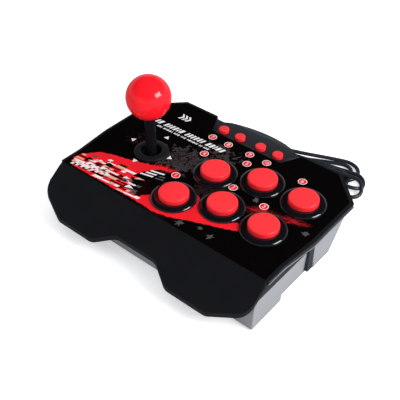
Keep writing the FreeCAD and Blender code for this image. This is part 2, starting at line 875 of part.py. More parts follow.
def lever_fittings():
    """What holds and reads the lever: box, gate, switches, and the collar on the panel."""
    foot = f"{COVER_UNDER} - box_height"
    walls = cut(
        "box_walls",
        around_lever("box_outside", "box_inside + box_wall", foot, COVER_UNDER),
        around_lever("box_hollow", "box_inside", foot, COVER_UNDER),
    )
    bearings = level_rod(
        "box_bearings",
        "Y",
        "pin_radius + pin_play",
        "-2 * box_inside",
        "2 * box_inside",
    )
    yield cut("lever_housing", walls, bearings)
    gate = cut(
        "gate_plate",
        around_lever("gate_blank", "box_inside + box_wall", f"{foot} - gate_thick", foot),
        around_lever("gate_way", "gate_opening", f"{foot} - gate_thick", foot),
    )
    gate.Label = "restrictor_gate"
    yield gate
    for name, turn in (("right", 0), ("back", 90), ("left", 180), ("front", 270)):
        case = doc.addObject("Part::Box", f"lever_switch_{name}")
        bind(case, Length="switch_tall", Width="switch_long", Height="switch_wide")
        case.Placement.Rotation = FreeCAD.Rotation(FreeCAD.Vector(0, 0, 1), turn)
        along, across = math.cos(math.radians(turn)), math.sin(math.radians(turn))
        along, across = round(along), round(across)
        put(
            case,
            f"stick_side + {along} * switch_reach + {across} * 0.5 * switch_long",
            f"stick_row + {across} * switch_reach - {along} * 0.5 * switch_long",
            foot,
        )
        yield case
    collar = turned(
        "stick_collar",
        [
            ("collar_hole", "0"),
            ("collar_radius", "0"),
            ("collar_radius", "collar_height - collar_bevel"),
            ("collar_radius - collar_bevel", "collar_height"),
            ("collar_hole + collar_bevel", "collar_height"),
            ("collar_hole", "collar_height - collar_bevel"),
        ],
        *LEVER,
        "panel_top",
    )
    yield collar


def lever_foot():
    """The parts at the lever's lower end: centring spring, actuator and retaining clip."""
    top = f"{PIVOT} - actuator_top"
    low = f"{PIVOT} - actuator_top - actuator_height"
    rise = "actuator_top - spring_top - spring_wire"
    path = doc.addObject("Part::Helix", "spring_path")
    bind(path, Radius="spring_radius", Height=rise, Pitch=f"({rise}) / spring_turns")
    section = doc.addObject("Part::Circle", "spring_section")
    bind(section, Radius="0.5 * spring_wire")
    section.Placement.Rotation = FreeCAD.Rotation(FreeCAD.Vector(1, 0, 0), 90)
    put(section, x="spring_radius")
    coil = doc.addObject("Part::Sweep", "centring_spring")
    coil.Sections = [section]
    coil.Spine = (path, [])
    coil.Solid = True
    coil.Frenet = True
    at_lever(coil, f"{top} + 0.5 * spring_wire")
    yield coil
    yield turned(
        "actuator",
        [
            ("shaft_radius", low),
            ("actuator_radius - 1", low),
            ("actuator_radius", f"{low} + 1"),
            ("actuator_radius", top),
            ("shaft_radius", top),
        ],
        *LEVER,
    )
    yield turned(
        "retaining_clip",
        [
            ("shaft_radius", f"{low} - clip_thick"),
            ("clip_radius", f"{low} - clip_thick"),
            ("clip_radius", low),
            ("shaft_radius", low),
        ],
        *LEVER,
    )


def push_buttons():
    """Six large buttons: a crowned bezel with its barrel, a plunger, and a rubber dome on the board."""
    for i, (x, y) in enumerate(BUTTONS, start=1):
        bead_top = "-overlay_thick - plate_thick"
        bezel = turned(
            f"button_bezel_{i}",
            [
                ("bezel_bore", "bezel_height - 0.3"),
                ("bezel_bore + 0.4", "bezel_height"),
                ("bezel_bore + bezel_crown", "bezel_height"),
                ("bezel_radius - bezel_crown", "0.72 * bezel_height"),
                ("bezel_radius - 0.3 * bezel_crown", "0.36 * bezel_height"),
                ("bezel_radius", "0"),
                ("barrel_radius", "0"),
                ("barrel_radius", bead_top),
                ("barrel_radius + bead_size", f"{bead_top} - 0.5 * bead_size"),
                ("barrel_radius", f"{bead_top} - 2 * bead_size"),
                ("barrel_radius", "-barrel_depth"),
                ("flange_bore", "-barrel_depth"),
                ("flange_bore", "-ledge_depth"),
                ("bezel_bore", "-ledge_depth"),
            ],
            x,
            y,
            "panel_top",
        )
        yield bezel
        flange_top = "-ledge_depth - flange_gap"
        flange_low = f"{flange_top} - flange_thick"
        plunger = turned(
            f"button_plunger_{i}",
            [
                ("0", "-stem_depth"),
                ("stem_radius", "-stem_depth"),
                ("stem_radius", "plunger_rise - plunger_roof"),
                ("plunger_radius - plunger_wall", "plunger_rise - plunger_roof"),
                ("plunger_radius - plunger_wall", flange_low),
                ("plunger_flange", flange_low),
                ("plunger_flange", flange_top),
                ("plunger_radius", flange_top),
                ("plunger_radius", "plunger_rise"),
                ("0", "plunger_rise"),
            ],
            x,
            y,
            "panel_top",
        )
        rounded(plunger, ring_at(number("plunger_rise"), number("plunger_radius")), "plunger_round")
        yield plunger
        tip = "panel_top - stem_depth - dome_gap - board_top"
        yield turned(
            f"return_dome_{i}",
            [
                ("0", tip),
                ("0", f"{tip} - rubber_wall"),
                ("rubber_tip - rubber_wall", f"{tip} - rubber_wall"),
                ("rubber_radius - rubber_wall", "0.5 * rubber_wall"),
                ("rubber_radius - rubber_wall", "0"),
                ("rubber_radius", "0"),
                ("rubber_radius", "rubber_wall"),
                ("rubber_tip", f"{tip} - rubber_wall"),
                ("rubber_tip", tip),
            ],
            x,
            y,
            "board_top",
        )


def small_buttons():
    """Four small caps on the ledge, kept in by a flange, each above its switch on the board."""
    flange_top = "-cap_flange_depth"
    flange_low = "-cap_flange_depth - cap_flange_thick"
    for i, (x, y) in enumerate(CAPS, start=1):
        cap = turned(
            f"menu_cap_{i}",
            [
                ("0", "board_top + tact_height + cap_clearance - panel_top"),
                ("cap_stem", "board_top + tact_height + cap_clearance - panel_top"),
                ("cap_stem", flange_low),
                ("cap_flange", flange_low),
                ("cap_flange", flange_top),
                ("cap_radius", flange_top),
                ("cap_radius", "cap_rise"),
                ("0", "cap_rise"),
            ],
            x,
            y,
            "panel_top",
        )
        rounded(cap, ring_at(number("cap_rise"), number("cap_radius")), "cap_round")
        yield cap
    tacts = []
    for i, (x, y) in enumerate(CAPS):
        case = block(
            f"tact_case_{i}",
            (f"{x} - 0.5 * tact_side", f"{x} + 0.5 * tact_side"),
            (f"{y} - 0.5 * tact_side", f"{y} + 0.5 * tact_side"),
            ("board_top", "board_top + 0.7 * tact_height"),
        )
        knob = rod(f"tact_knob_{i}", "0.28 * tact_side", "board_top", "board_top + tact_height", x, y)
        tacts.append(fuse(f"tact_{i}", [case, knob]))
    group = doc.addObject("Part::Compound", "menu_switches")
    group.Links = tacts
    yield group


def circuit_board():
    """One board under all the buttons, on four posts of the base, with its controller chip."""
    plan = [
        ("board_left", "board_front"),
        ("board_right", "board_front"),
        ("board_right", "board_back"),
        ("board_tab_half", "board_back"),
        ("board_tab_half", "board_tab_back"),
        ("-board_tab_half", "board_tab_back"),
        ("-board_tab_half", "board_back"),
        ("board_left", "board_back"),
    ]
    yield prism("button_board", plan, "board_top - board_thick", "board_top")
    middle_x = "button_two_x + 0.5 * row_step_x"
    middle_y = "button_two_y + 0.5 * row_step_y"
    yield block(
        "controller_chip",
        (f"{middle_x} - 0.5 * chip_side", f"{middle_x} + 0.5 * chip_side"),
        (f"{middle_y} - 0.5 * chip_side", f"{middle_y} + 0.5 * chip_side"),
        ("board_top", "board_top + chip_height"),
    )


OUTLET_REACH = f"{BULGE_RADIUS} - bulge_inset"


def outlet_place(past):
    """Formulas for a spot on the outlet's axis, some way past the wall of the bulge."""
    reach = f"({OUTLET_REACH} + ({past}))"
    return f"{reach} * sin(lead_turn * 1 deg)", f"{BULGE_MIDDLE} + {reach} * cos(lead_turn * 1 deg)"


def at_outlet(thing, past):
    """Lay a piece made upright at the origin along the outlet's axis."""
    lay = FreeCAD.Rotation(FreeCAD.Vector(1, 0, 0), -90)
    thing.Placement.Rotation = FreeCAD.Rotation(FreeCAD.Vector(0, 0, 1), -number("lead_turn")) * lay
    return put(thing, *outlet_place(past), "lead_exit")


def lead_route():
    """Corners of the free stretch: straight out of the relief, then down into the hank."""
    start = [tuple(number(text) for text in (*outlet_place(past), "lead_exit")) for past in ("3", "14")]
    return start + [(42.5, 97.6, 10.8), (54, 96.5, 7.4)]


TAIL_ROUTE = [
    (-45, 93.6, 8.2),
    (-50, 92.8, 6.6),
    (-55.2, 92, 4.6),
    (-60, 91.2, 4.6),
]


def round_path(points):
    """Straight runs joined by tangent arcs, each arc as large as its two runs allow."""
    spots = [FreeCAD.Vector(*point) for point in points]
    edges = []
    start = spots[0]
    radii = []
    for before, here, after in zip(spots, spots[1:], spots[2:]):
        back = (before - here).normalize()
        ahead = (after - here).normalize()
        turn = math.pi - back.getAngle(ahead)
        trim = 0.45 * min((before - here).Length, (after - here).Length)
        radius = trim / math.tan(turn / 2)
        radii.append(radius)
        enter = here + back * trim
        leave = here + ahead * trim
        middle = here + (back + ahead).normalize() * (math.hypot(radius, trim) - radius)
        edges.append(Part.LineSegment(start, enter).toShape())
        edges.append(Part.Arc(enter, middle, leave).toShape())
        start = leave
    edges.append(Part.LineSegment(start, spots[-1]).toShape())
    print("cord radii", [round(radius, 1) for radius in radii])
    return Part.Wire(edges)


def tube(name, points):
    """A stretch of the lead as one round tube."""
    path = round_path(points)
    heading = path.Edges[0].tangentAt(path.Edges[0].FirstParameter)
    section = Part.Wire(Part.Circle(FreeCAD.Vector(*points[0]), heading, number("lead_radius")).toShape())
    shape = path.makePipeShell([section], True, False)
    drift = shape.Volume / (math.pi * number("lead_radius") ** 2 * path.Length) - 1
    print(name, "length", round(path.Length, 1), "volume drift", round(drift, 4))
    solid = doc.addObject("Part::Feature", name)
    solid.Shape = shape
    return solid


def hank_plan():
    """The outline of the tied turns: a lobe on the left, a waist in the tie, fanned out on the right."""
    return [
        ("-lobe_reach", "-0.6 * lobe_half"),
        ("-lobe_reach", "0.6 * lobe_half"),
        ("-0.82 * lobe_reach", "lobe_half"),
        ("-0.5 * waist_long", "waist_half"),
        ("0.5 * waist_long", "waist_half"),
        ("0.29 * fan_reach", "0.53 * fan_back"),
        ("0.55 * fan_reach", "fan_back"),
        ("0.67 * fan_reach", "fan_back"),
        ("0.77 * fan_reach", "0.9 * fan_back"),
        ("0.85 * fan_reach", "0.66 * fan_back"),
        ("0.93 * fan_reach", "0.31 * fan_back"),
        ("fan_reach", "-0.27 * fan_front"),
        ("0.975 * fan_reach", "-0.74 * fan_front"),
        ("0.9 * fan_reach", "-fan_front"),
        ("0.75 * fan_reach", "-0.9 * fan_front"),
        ("0.5 * waist_long", "-waist_half"),
        ("-0.5 * waist_long", "-waist_half"),
        ("-0.82 * lobe_reach", "-lobe_half"),
    ]


def lead():
    """The lead: strain relief, free stretch, tied hank, tail, and the plug with its metal shell."""
    relief = turned(
        "relief_turned",
        [
            ("lead_radius", "-base_wall - relief_play - relief_groove"),
            ("relief_flange", "-base_wall - relief_play - relief_groove"),
            ("relief_flange", "-base_wall - relief_play"),
            ("relief_radius", "-base_wall - relief_play"),
            ("relief_radius", "0"),
            ("relief_flange", "0"),
            ("relief_flange", "relief_groove"),
            ("relief_radius", "2 * relief_groove"),
            ("relief_tip", "relief_length"),
            ("lead_radius", "relief_length"),
        ],
    )
    relief.Label = "strain_relief"
    yield at_outlet(relief, "0")
    yield tube("lead_free", lead_route())
    rest, crest = "tie_thick", "tie_thick + hank_height"
    hank = padded("lead_hank", hank_plan(), "hank_height")
    rounded(hank, upright, "hank_round")
    yield at_hank(hank, rest)
    strap = ("-0.5 * tie_width", "0.5 * tie_width")
    across = ("-waist_half - tie_thick", "waist_half + tie_thick")
    tie = cut(
        "lead_tie",
        block("tie_outside", strap, across, ("0", f"{crest} + tie_thick")),
        block("tie_inside", strap, ("-waist_half", "waist_half"), (rest, crest)),
    )
    yield at_hank(tie, "0")
    yield tube("lead_tail", TAIL_ROUTE)
    plug = padded(
        "plug_grip",
        [
            ("0", "-0.35 * plug_wide"),
            ("0.3 * plug_long", "-0.5 * plug_wide"),
            ("plug_long", "-0.5 * plug_wide"),
            ("plug_long", "0.5 * plug_wide"),
            ("0.3 * plug_long", "0.5 * plug_wide"),
            ("0", "0.35 * plug_wide"),
        ],
        "plug_tall",
    )
    rounded(plug, upright, "plug_round")
    yield at_plug(plug)
    mouth = ("plug_long", "plug_long + plug_shell_long")
    sleeve = cut(
        "plug_sleeve",
        block(
            "plug_sleeve_outside",
            mouth,
            ("-0.5 * plug_shell_wide", "0.5 * plug_shell_wide"),
            ("0.5 * (plug_tall - plug_shell_tall)", "0.5 * (plug_tall + plug_shell_tall)"),
        ),
        block(
            "plug_sleeve_inside",
            mouth,
            ("-0.5 * plug_shell_wide + plug_shell_wall", "0.5 * plug_shell_wide - plug_shell_wall"),
            (
                "0.5 * (plug_tall - plug_shell_tall) + plug_shell_wall",
                "0.5 * (plug_tall + plug_shell_tall) - plug_shell_wall",
            ),
        ),
    )
    top = "0.5 * (plug_tall + plug_shell_tall)"
    windows = fuse("plug_windows", [
        block(
            f"plug_window_{i}",
            ("plug_long + plug_insert_heel + plug_window", "plug_long + plug_insert_heel + 2 * plug_window"),
            (middle + " - 0.5 * plug_window", middle + " + 0.5 * plug_window"),
            (f"{top} - plug_shell_wall", f"{top} + plug_shell_wall"),
        )
        for i, middle in enumerate(("-0.25 * plug_shell_wide", "0.25 * plug_shell_wide"))
    ])
    yield at_plug(cut("plug_shell", sleeve, windows))
    inside = ("-0.5 * plug_shell_wide + plug_shell_wall", "0.5 * plug_shell_wide - plug_shell_wall")
    roof = "0.5 * (plug_tall + plug_shell_tall) - plug_shell_wall"
    reach = ("plug_long", "plug_long + plug_shell_long - 1")
    holder = fuse("plug_insert", [
        block("plug_tongue", reach, inside, ("0.5 * plug_tall", roof)),
        block(
            "plug_heel",
            ("plug_long", "plug_long + plug_insert_heel"),
            inside,
            ("0.5 * (plug_tall - plug_shell_tall) + plug_shell_wall", roof),
        ),
    ])
    yield at_plug(holder)


def at_hank(thing, level):
    """Move a piece made at the origin to the hank, turned with it."""
    bind(thing, **{"Placement.Rotation.Angle": "hank_turn"})
    return put(thing, "hank_x", "hank_y", level)


def at_plug(thing):
    """Move a piece made at the origin to the end of the lead, heading the way the lead ends."""
    (from_x, from_y, _), (end_x, end_y, _) = TAIL_ROUTE[-2:]
    heading = math.degrees(math.atan2(end_y - from_y, end_x - from_x))
    thing.Placement.Rotation = FreeCAD.Rotation(FreeCAD.Vector(0, 0, 1), heading)
    return put(thing, str(end_x), str(end_y))


PIECES = [top_cover(), base_shell(), *side_strips(), panel_overlay(), rubber_feet(), cover_screws()]
PIECES += [*lever(), *lever_fittings(), *lever_foot(), *push_buttons(), *small_buttons()]
PIECES += [*circuit_board(), *lead()]

doc.recompute()
for thing in doc.Objects:
    if {"Invalid", "Error"} & set(thing.State):
        raise RuntimeError(f"{thing.Label} did not build: {thing.State}")
for piece in PIECES:
    if piece.Shape.isNull() or not piece.Shape.isValid():
        raise RuntimeError(f"{piece.Label} has no valid shape")

os.makedirs("parts", exist_ok=True)
for piece in PIECES:
    piece.Shape.exportStep(f"parts/{piece.Label}.step")
print(len(PIECES), "pieces")
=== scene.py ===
import math
import random

import bmesh
import bpy
from mathutils import Matrix, Vector


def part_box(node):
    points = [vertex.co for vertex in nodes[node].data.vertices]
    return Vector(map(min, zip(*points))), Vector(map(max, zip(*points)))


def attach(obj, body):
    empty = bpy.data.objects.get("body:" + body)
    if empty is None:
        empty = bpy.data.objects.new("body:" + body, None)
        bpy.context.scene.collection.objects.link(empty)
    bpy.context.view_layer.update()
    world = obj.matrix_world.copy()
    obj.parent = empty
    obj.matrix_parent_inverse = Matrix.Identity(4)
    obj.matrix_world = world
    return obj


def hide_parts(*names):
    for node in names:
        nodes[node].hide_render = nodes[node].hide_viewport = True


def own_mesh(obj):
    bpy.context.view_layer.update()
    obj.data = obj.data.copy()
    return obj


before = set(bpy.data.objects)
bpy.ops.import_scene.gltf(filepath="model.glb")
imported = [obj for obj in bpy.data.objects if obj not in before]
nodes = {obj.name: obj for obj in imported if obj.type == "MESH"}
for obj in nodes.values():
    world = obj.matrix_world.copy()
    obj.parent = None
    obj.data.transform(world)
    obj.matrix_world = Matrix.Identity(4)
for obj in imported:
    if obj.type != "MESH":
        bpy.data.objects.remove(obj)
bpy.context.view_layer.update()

scene = bpy.context.scene
MM = 0.001

# The table and the studio: a pale table top and a soft lamp on the right, a little behind the object.
# The lamp is a pair in one place: polished pieces mirror the smaller one and not the broad one. What else
# they mirror is pale near the table and dark above, as in a tent with an open top.
AZIMUTH, ELEVATION, ROLL = math.radians(39.67), math.radians(41.06), math.radians(0.2)
EYE = Vector((262.7, -321.8, 377.6)) * MM

camera_data = bpy.data.cameras.new("camera")
camera_data.sensor_width = 36.0
camera_data.lens = 62.62
camera_data.clip_start = 0.01
camera = bpy.data.objects.new("camera", camera_data)
scene.collection.objects.link(camera)
back = Vector((
    math.sin(AZIMUTH) * math.cos(ELEVATION),
    -math.cos(AZIMUTH) * math.cos(ELEVATION),
    math.sin(ELEVATION),
))
right = Vector((math.cos(AZIMUTH), math.sin(AZIMUTH), 0))
tilt = Matrix((right, back.cross(right), back)).transposed() @ Matrix.Rotation(ROLL, 3, "Z")
camera.matrix_world = Matrix.Translation(EYE) @ tilt.to_4x4()
scene.camera = camera
scene.view_settings.view_transform = "Standard"


def new_material(name):
    """An empty node material with its output and one principled shader."""
    material = bpy.data.materials.new(name)
    material.use_nodes = True
    tree = material.node_tree
    return material, tree, tree.nodes["Principled BSDF"]


MIX_SHARE, MIX_FIRST, MIX_SECOND, MIX_OUT = 0, 6, 7, 2


def colour_mix(tree, share, first, second):
    """The colour between two at a share; the first may also come from another node."""
    mix = tree.nodes.new("ShaderNodeMix")
    mix.data_type = "RGBA"
    tree.links.new(share, mix.inputs[MIX_SHARE])
    if isinstance(first, bpy.types.NodeSocket):
        tree.links.new(first, mix.inputs[MIX_FIRST])
    else:
        mix.inputs[MIX_FIRST].default_value = (*first, 1)
    mix.inputs[MIX_SECOND].default_value = (*second, 1)
    return mix.outputs[MIX_OUT]


def seen_directly(tree):
    """1 for what the eye or a mirror sees, 0 for what only lights other things."""
    path = tree.nodes.new("ShaderNodeLightPath")
    total = None
    for ray in ("Is Camera Ray", "Is Glossy Ray", "Is Transmission Ray"):
        if total is None:
            total = path.outputs[ray]
            continue
        either = tree.nodes.new("ShaderNodeMath")
        either.operation = "MAXIMUM"
        tree.links.new(total, either.inputs[0])
        tree.links.new(path.outputs[ray], either.inputs[1])
        total = either.outputs[0]
    return path, total


world = bpy.data.worlds.new("studio")
world.use_nodes = True
scene.world = world
tree = world.node_tree
tree.nodes.clear()
path, seen = seen_directly(tree)
where = tree.nodes.new("ShaderNodeTexCoord")
height = tree.nodes.new("ShaderNodeSeparateXYZ")
tree.links.new(where.outputs["Generated"], height.inputs[0])
tent = tree.nodes.new("ShaderNodeValToRGB")
tent.color_ramp.elements[0].position = 0.12
tent.color_ramp.elements[0].color = (0.55, 0.57, 0.62, 1)
tent.color_ramp.elements[1].position = 0.5
tent.color_ramp.elements[1].color = (0.004, 0.004, 0.005, 1)
tree.links.new(height.outputs["Z"], tent.inputs[0])
shine = tree.nodes.new("ShaderNodeBackground")
tree.links.new(tent.outputs[0], shine.inputs["Color"])
white = tree.nodes.new("ShaderNodeBackground")
white.inputs["Strength"].default_value = 1.0
white.inputs["Color"].default_value = (1, 1, 1, 1)
ambient = tree.nodes.new("ShaderNodeBackground")
ambient.inputs["Color"].default_value = (0.95, 0.97, 1, 1)
ambient.inputs["Strength"].default_value = 0.80
mirrored = tree.nodes.new("ShaderNodeMixShader")
tree.links.new(seen, mirrored.inputs[0])
tree.links.new(ambient.outputs[0], mirrored.inputs[1])
tree.links.new(shine.outputs[0], mirrored.inputs[2])
direct = tree.nodes.new("ShaderNodeMixShader")
tree.links.new(path.outputs["Is Camera Ray"], direct.inputs[0])
tree.links.new(mirrored.outputs[0], direct.inputs[1])
tree.links.new(white.outputs[0], direct.inputs[2])
sky_out = tree.nodes.new("ShaderNodeOutputWorld")
tree.links.new(direct.outputs[0], sky_out.inputs[0])


def lamp(name, place, aim, width, height, power, mirrored):
    """A soft lamp pointed at a spot, with or without a reflection in glossy surfaces."""
    light = bpy.data.lights.new(name, "AREA")
    light.shape = "RECTANGLE"
    light.size = width
    light.size_y = height
    light.energy = power
    lamp_object = bpy.data.objects.new(name, light)
    lamp_object.location = place
    lamp_object.rotation_euler = (Vector(aim) - Vector(place)).to_track_quat("-Z", "Y").to_euler()
    lamp_object.visible_glossy = mirrored
    scene.collection.objects.link(lamp_object)


LAMP_PLACE, LAMP_AIM = (0.82, 0.18, 0.575), (0, 0, 0.03)
lamp("lamp_right", LAMP_PLACE, LAMP_AIM, width=0.52, height=0.30, power=7.0, mirrored=True)
lamp("lamp_right_fill", LAMP_PLACE, LAMP_AIM, width=0.70, height=0.70, power=3.4, mirrored=False)

TABLE_REACH, TABLE_GLOW = 3.0, 0.42
corners = [(x * TABLE_REACH, y * TABLE_REACH, 0) for x, y in ((-1, -1), (1, -1), (1, 1), (-1, 1))]
floor_mesh = bpy.data.meshes.new("table_top")
floor_mesh.from_pydata(corners, [], [(0, 1, 2, 3)])
floor = bpy.data.objects.new("table_top", floor_mesh)
scene.collection.objects.link(floor)
material, tree, shader = new_material("table_white")
shader.inputs["Roughness"].default_value = 0.6
shader.inputs["Specular IOR Level"].default_value = 0.0
shader.inputs["Emission Color"].default_value = (1, 1, 1, 1)
path = tree.nodes.new("ShaderNodeLightPath")
lift = tree.nodes.new("ShaderNodeMath")
lift.operation = "MULTIPLY"
lift.inputs[1].default_value = TABLE_GLOW
tree.links.new(path.outputs["Is Camera Ray"], lift.inputs[0])
tree.links.new(lift.outputs[0], shader.inputs["Emission Strength"])
# Seen in glossy surfaces the table turns dark grey: a painted shade in its reflections, so the cover's sides
# mirror less light.
tone = colour_mix(tree, path.outputs["Is Glossy Ray"], (0.9, 0.9, 0.9), (0.26, 0.27, 0.29))
tree.links.new(tone, shader.inputs["Base Color"])
floor_mesh.materials.append(material)


# The base shell: one light grey moulding with drafted walls, an arch between the feet on each side and
# a fine spark-eroded grain; the tool leaves its outer corners slightly round.
def moulded(name, colour, roughness, grain=1500.0, relief=0.12, mottle=0.08, spread=0.06, shine=0.5):
    """Moulded plastic: a faint cloud in the colour, a fine grain in the surface and an uneven gloss."""
    material, tree, shader = new_material(name)
    where = tree.nodes.new("ShaderNodeTexCoord")
    cloud = tree.nodes.new("ShaderNodeTexNoise")
    cloud.inputs["Scale"].default_value = 75.0
    cloud.inputs["Detail"].default_value = 4.0
    tree.links.new(where.outputs["Object"], cloud.inputs["Vector"])
    dark, light = ([c * share for c in colour] for share in (1 - mottle, 1 + mottle))
    tree.links.new(colour_mix(tree, cloud.outputs["Fac"], dark, light), shader.inputs["Base Color"])
    gloss = tree.nodes.new("ShaderNodeMapRange")
    gloss.inputs["To Min"].default_value = roughness - spread
    gloss.inputs["To Max"].default_value = roughness + spread
    tree.links.new(cloud.outputs["Fac"], gloss.inputs["Value"])
    tree.links.new(gloss.outputs[0], shader.inputs["Roughness"])
    sand = tree.nodes.new("ShaderNodeTexNoise")
    sand.inputs["Scale"].default_value = grain
    sand.inputs["Detail"].default_value = 2.0
    tree.links.new(where.outputs["Object"], sand.inputs["Vector"])
    bump = tree.nodes.new("ShaderNodeBump")
    bump.inputs["Strength"].default_value = relief
    bump.inputs["Distance"].default_value = 0.0002
    tree.links.new(sand.outputs["Fac"], bump.inputs["Height"])
    tree.links.new(bump.outputs[0], shader.inputs["Normal"])
    shader.inputs["Specular IOR Level"].default_value = shine
    return material


def shade(mesh, angle=32):
    """Smooth shading, broken only at edges sharper than an angle."""
    mesh.polygons.foreach_set("use_smooth", [True] * len(mesh.polygons))
    mesh.set_sharp_from_angle(angle=math.radians(angle))


def add_piece(name, mesh, material, body, slot, *replaced):
    """A finished piece: its material, the body it rides on and the solids it stands for."""
    piece = bpy.data.objects.new(name, mesh)
    scene.collection.objects.link(piece)
    mesh.materials.clear()
    mesh.materials.append(material)
    if replaced:
        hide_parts(*replaced)
    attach(piece, body)
    return piece


def finish_solid(material, *names):
    """Give solids that keep their own shape their finish."""
    for name in names:
        nodes[name].data.materials.clear()
        nodes[name].data.materials.append(material)


def plain_mesh(carrier):
    """The mesh that a loose object shows with its modifiers; the object itself goes."""
    scene.collection.objects.link(carrier)
    bpy.context.view_layer.update()
    mesh = bpy.data.meshes.new_from_object(carrier.evaluated_get(bpy.context.evaluated_depsgraph_get()))
    bpy.data.objects.remove(carrier)
    return mesh


WELD, LEVEL_ANGLE, EDGE_ANGLE = 3e-6, math.radians(0.6), math.radians(18)


def eased(node, width, chosen):
    """A copy of a solid with the outer edges that a test picks eased to a radius."""
    mesh = bpy.data.meshes.new(f"{node}_eased")
    shape = bmesh.new()
    shape.from_mesh(nodes[node].data)
    bmesh.ops.remove_doubles(shape, verts=shape.verts, dist=WELD)
    bmesh.ops.dissolve_limit(shape, angle_limit=LEVEL_ANGLE, verts=shape.verts, edges=shape.edges)
    bmesh.ops.recalc_face_normals(shape, faces=shape.faces)
    picked = []
    for edge in shape.edges:
        if len(edge.link_faces) != 2 or not edge.is_convex:
            continue
        if edge.calc_face_angle() > EDGE_ANGLE and chosen(edge):
            picked.append(edge)
    bmesh.ops.bevel(
        shape,
        geom=picked,
        offset=width,
        offset_type="OFFSET",
        segments=3,
        profile=0.5,
        affect="EDGES",
        clamp_overlap=False,
        miter_outer="ARC",
    )
    bmesh.ops.triangulate(shape, faces=[face for face in shape.faces if len(face.verts) > 4])
    shape.to_mesh(mesh)
    shape.free()
    shade(mesh)
    return flat_sided(mesh)


def flat_sided(mesh):
    """The same mesh with its normals weighted by area, so broad faces stay flat beside rounded edges."""
    carrier = bpy.data.objects.new("carrier", mesh)
    weighted = carrier.modifiers.new("weighted", "WEIGHTED_NORMAL")
    weighted.keep_sharp = True
    weighted.weight = 100
    return plain_mesh(carrier)


def faces_out(edge, middle):
    """True where both faces at an edge look away from a spot inside the case."""
    return all(face.normal.dot(face.calc_center_median() - middle) > 0 for face in edge.link_faces)


CASE_MIDDLE = Vector((0, 0, 12)) * MM
BASE_SIDE, BASE_FRONT, BASE_BACK, BASE_SHORTEST = 0.085, -0.069, 0.058, 0.0025


def base_edge(edge):
    """Edges of the base that show: its outer corners and its lower rim."""
    middle = (edge.verts[0].co + edge.verts[1].co) / 2
    outer = abs(middle.x) > BASE_SIDE or middle.y < BASE_FRONT or middle.y > BASE_BACK
    return outer and edge.calc_length() > BASE_SHORTEST and faces_out(edge, CASE_MIDDLE)


SHELL_GREY = moulded(
    "shell_grey", (0.27, 0.275, 0.292), 0.42, grain=2200, relief=0.10, mottle=0.05, shine=0.3,
)
base_mesh = eased("base_shell", 0.7 * MM, base_edge)
add_piece("base_moulding", base_mesh, SHELL_GREY, "housing", "shell_grey", "base_shell")


# The strips: a raised dark band of satin plastic up the middle of each side wall, fixed on the wall under
# the rim, with a rounded foot and its outer edges slightly broken.
def longer_than(length):
    """A test that picks every edge above a length."""
    return lambda edge: edge.calc_length() > length


STRIP_DARK = moulded("strip_dark", (0.016, 0.021, 0.029), 0.38, mottle=0.10, shine=0.3)
for side in ("left", "right"):
    strip = eased(f"side_strip_{side}", 0.5 * MM, longer_than(0.002))
    add_piece(f"wall_strip_{side}", strip, STRIP_DARK, "housing", "strip_dark", f"side_strip_{side}")

# The feet: four round pads of black rubber let into seats in the underside, with a finely pebbled face
# that grips the table.
RUBBER_BLACK = moulded("rubber_black", (0.018, 0.018, 0.018), 0.72, grain=900, relief=0.4, mottle=0.2)
finish_solid(RUBBER_BLACK, "rubber_feet")

# The top cover: one satin black moulding, from the rear ledge over the rim round the panel to the palm rest.
# Its outer edges are rounded, so they draw thin bright lines where the lamp catches them.
COVER_SIDE, COVER_FRONT, COVER_BACK, COVER_SHORTEST = 0.094, -0.05, 0.064, 0.0012


def cover_edge(edge):
    """Edges of the cover that show: rim, bend, palm rest, ledge and bulge, not the holes or the inside."""
    middle = (edge.verts[0].co + edge.verts[1].co) / 2
    if edge.calc_length() < COVER_SHORTEST or not faces_out(edge, CASE_MIDDLE):
        return False
    return abs(middle.x) > COVER_SIDE or middle.y < COVER_FRONT or middle.y > COVER_BACK


COVER_BLACK = moulded(
    "cover_black", (0.0066, 0.0070, 0.0086), 0.38, grain=1900, relief=0.10, mottle=0.15, shine=0.28,
)
cover_mesh = eased("top_cover", 0.6 * MM, cover_edge)
add_piece("cover_moulding", cover_mesh, COVER_BLACK, "housing", "cover_black", "top_cover")

# The lip of the rim: a fine bead along the lower edge of the cover's sides and back corners. It is moulded
# with the cover and glossy; its light grey colour, broken by a strong mottle, is a painted highlight for the
# thin light line.
RIM_FOOT = [(100.5, -55.4), (100.5, -37.0), (104.1, -5.0), (104.1, 47.6), (79.0, 72.6)]
LIP_RADIUS, LIP_LEVEL = 0.5, 34.7
lip_curve = bpy.data.curves.new("rim_lip", "CURVE")
lip_curve.dimensions = "3D"
for side in (1, -1):
    bead = lip_curve.splines.new("POLY")
    bead.points.add(len(RIM_FOOT) - 1)
    for point, (x, y) in zip(bead.points, RIM_FOOT):
        point.co = (side * x * MM, y * MM, LIP_LEVEL * MM, 1)
lip_curve.bevel_depth = LIP_RADIUS * MM
lip_curve.bevel_resolution = 3
lip_curve.use_fill_caps = True
lip_mesh = plain_mesh(bpy.data.objects.new("rim_lip", lip_curve))
shade(lip_mesh, angle=60)
# The light grey base colour is a painted highlight; the bead itself is black plastic like the cover.
LIP_GLOSS_AND_PAINTED_GLINT = moulded(
    "lip_gloss_and_painted_glint", (0.16, 0.17, 0.20), 0.12, grain=500, relief=0.25, mottle=0.5, spread=0.06, shine=0.9,
)
add_piece("rim_lip_bead", lip_mesh, LIP_GLOSS_AND_PAINTED_GLINT, "housing", "cover_black")

# The screws: plain steel pan heads at the bottom of deep wells in the underside, driven through the base
# into bosses of the cover. The lever's shaft and pins are turned from the same steel.
RING_SHADE, RING_SPREAD = 0.85, 0.06


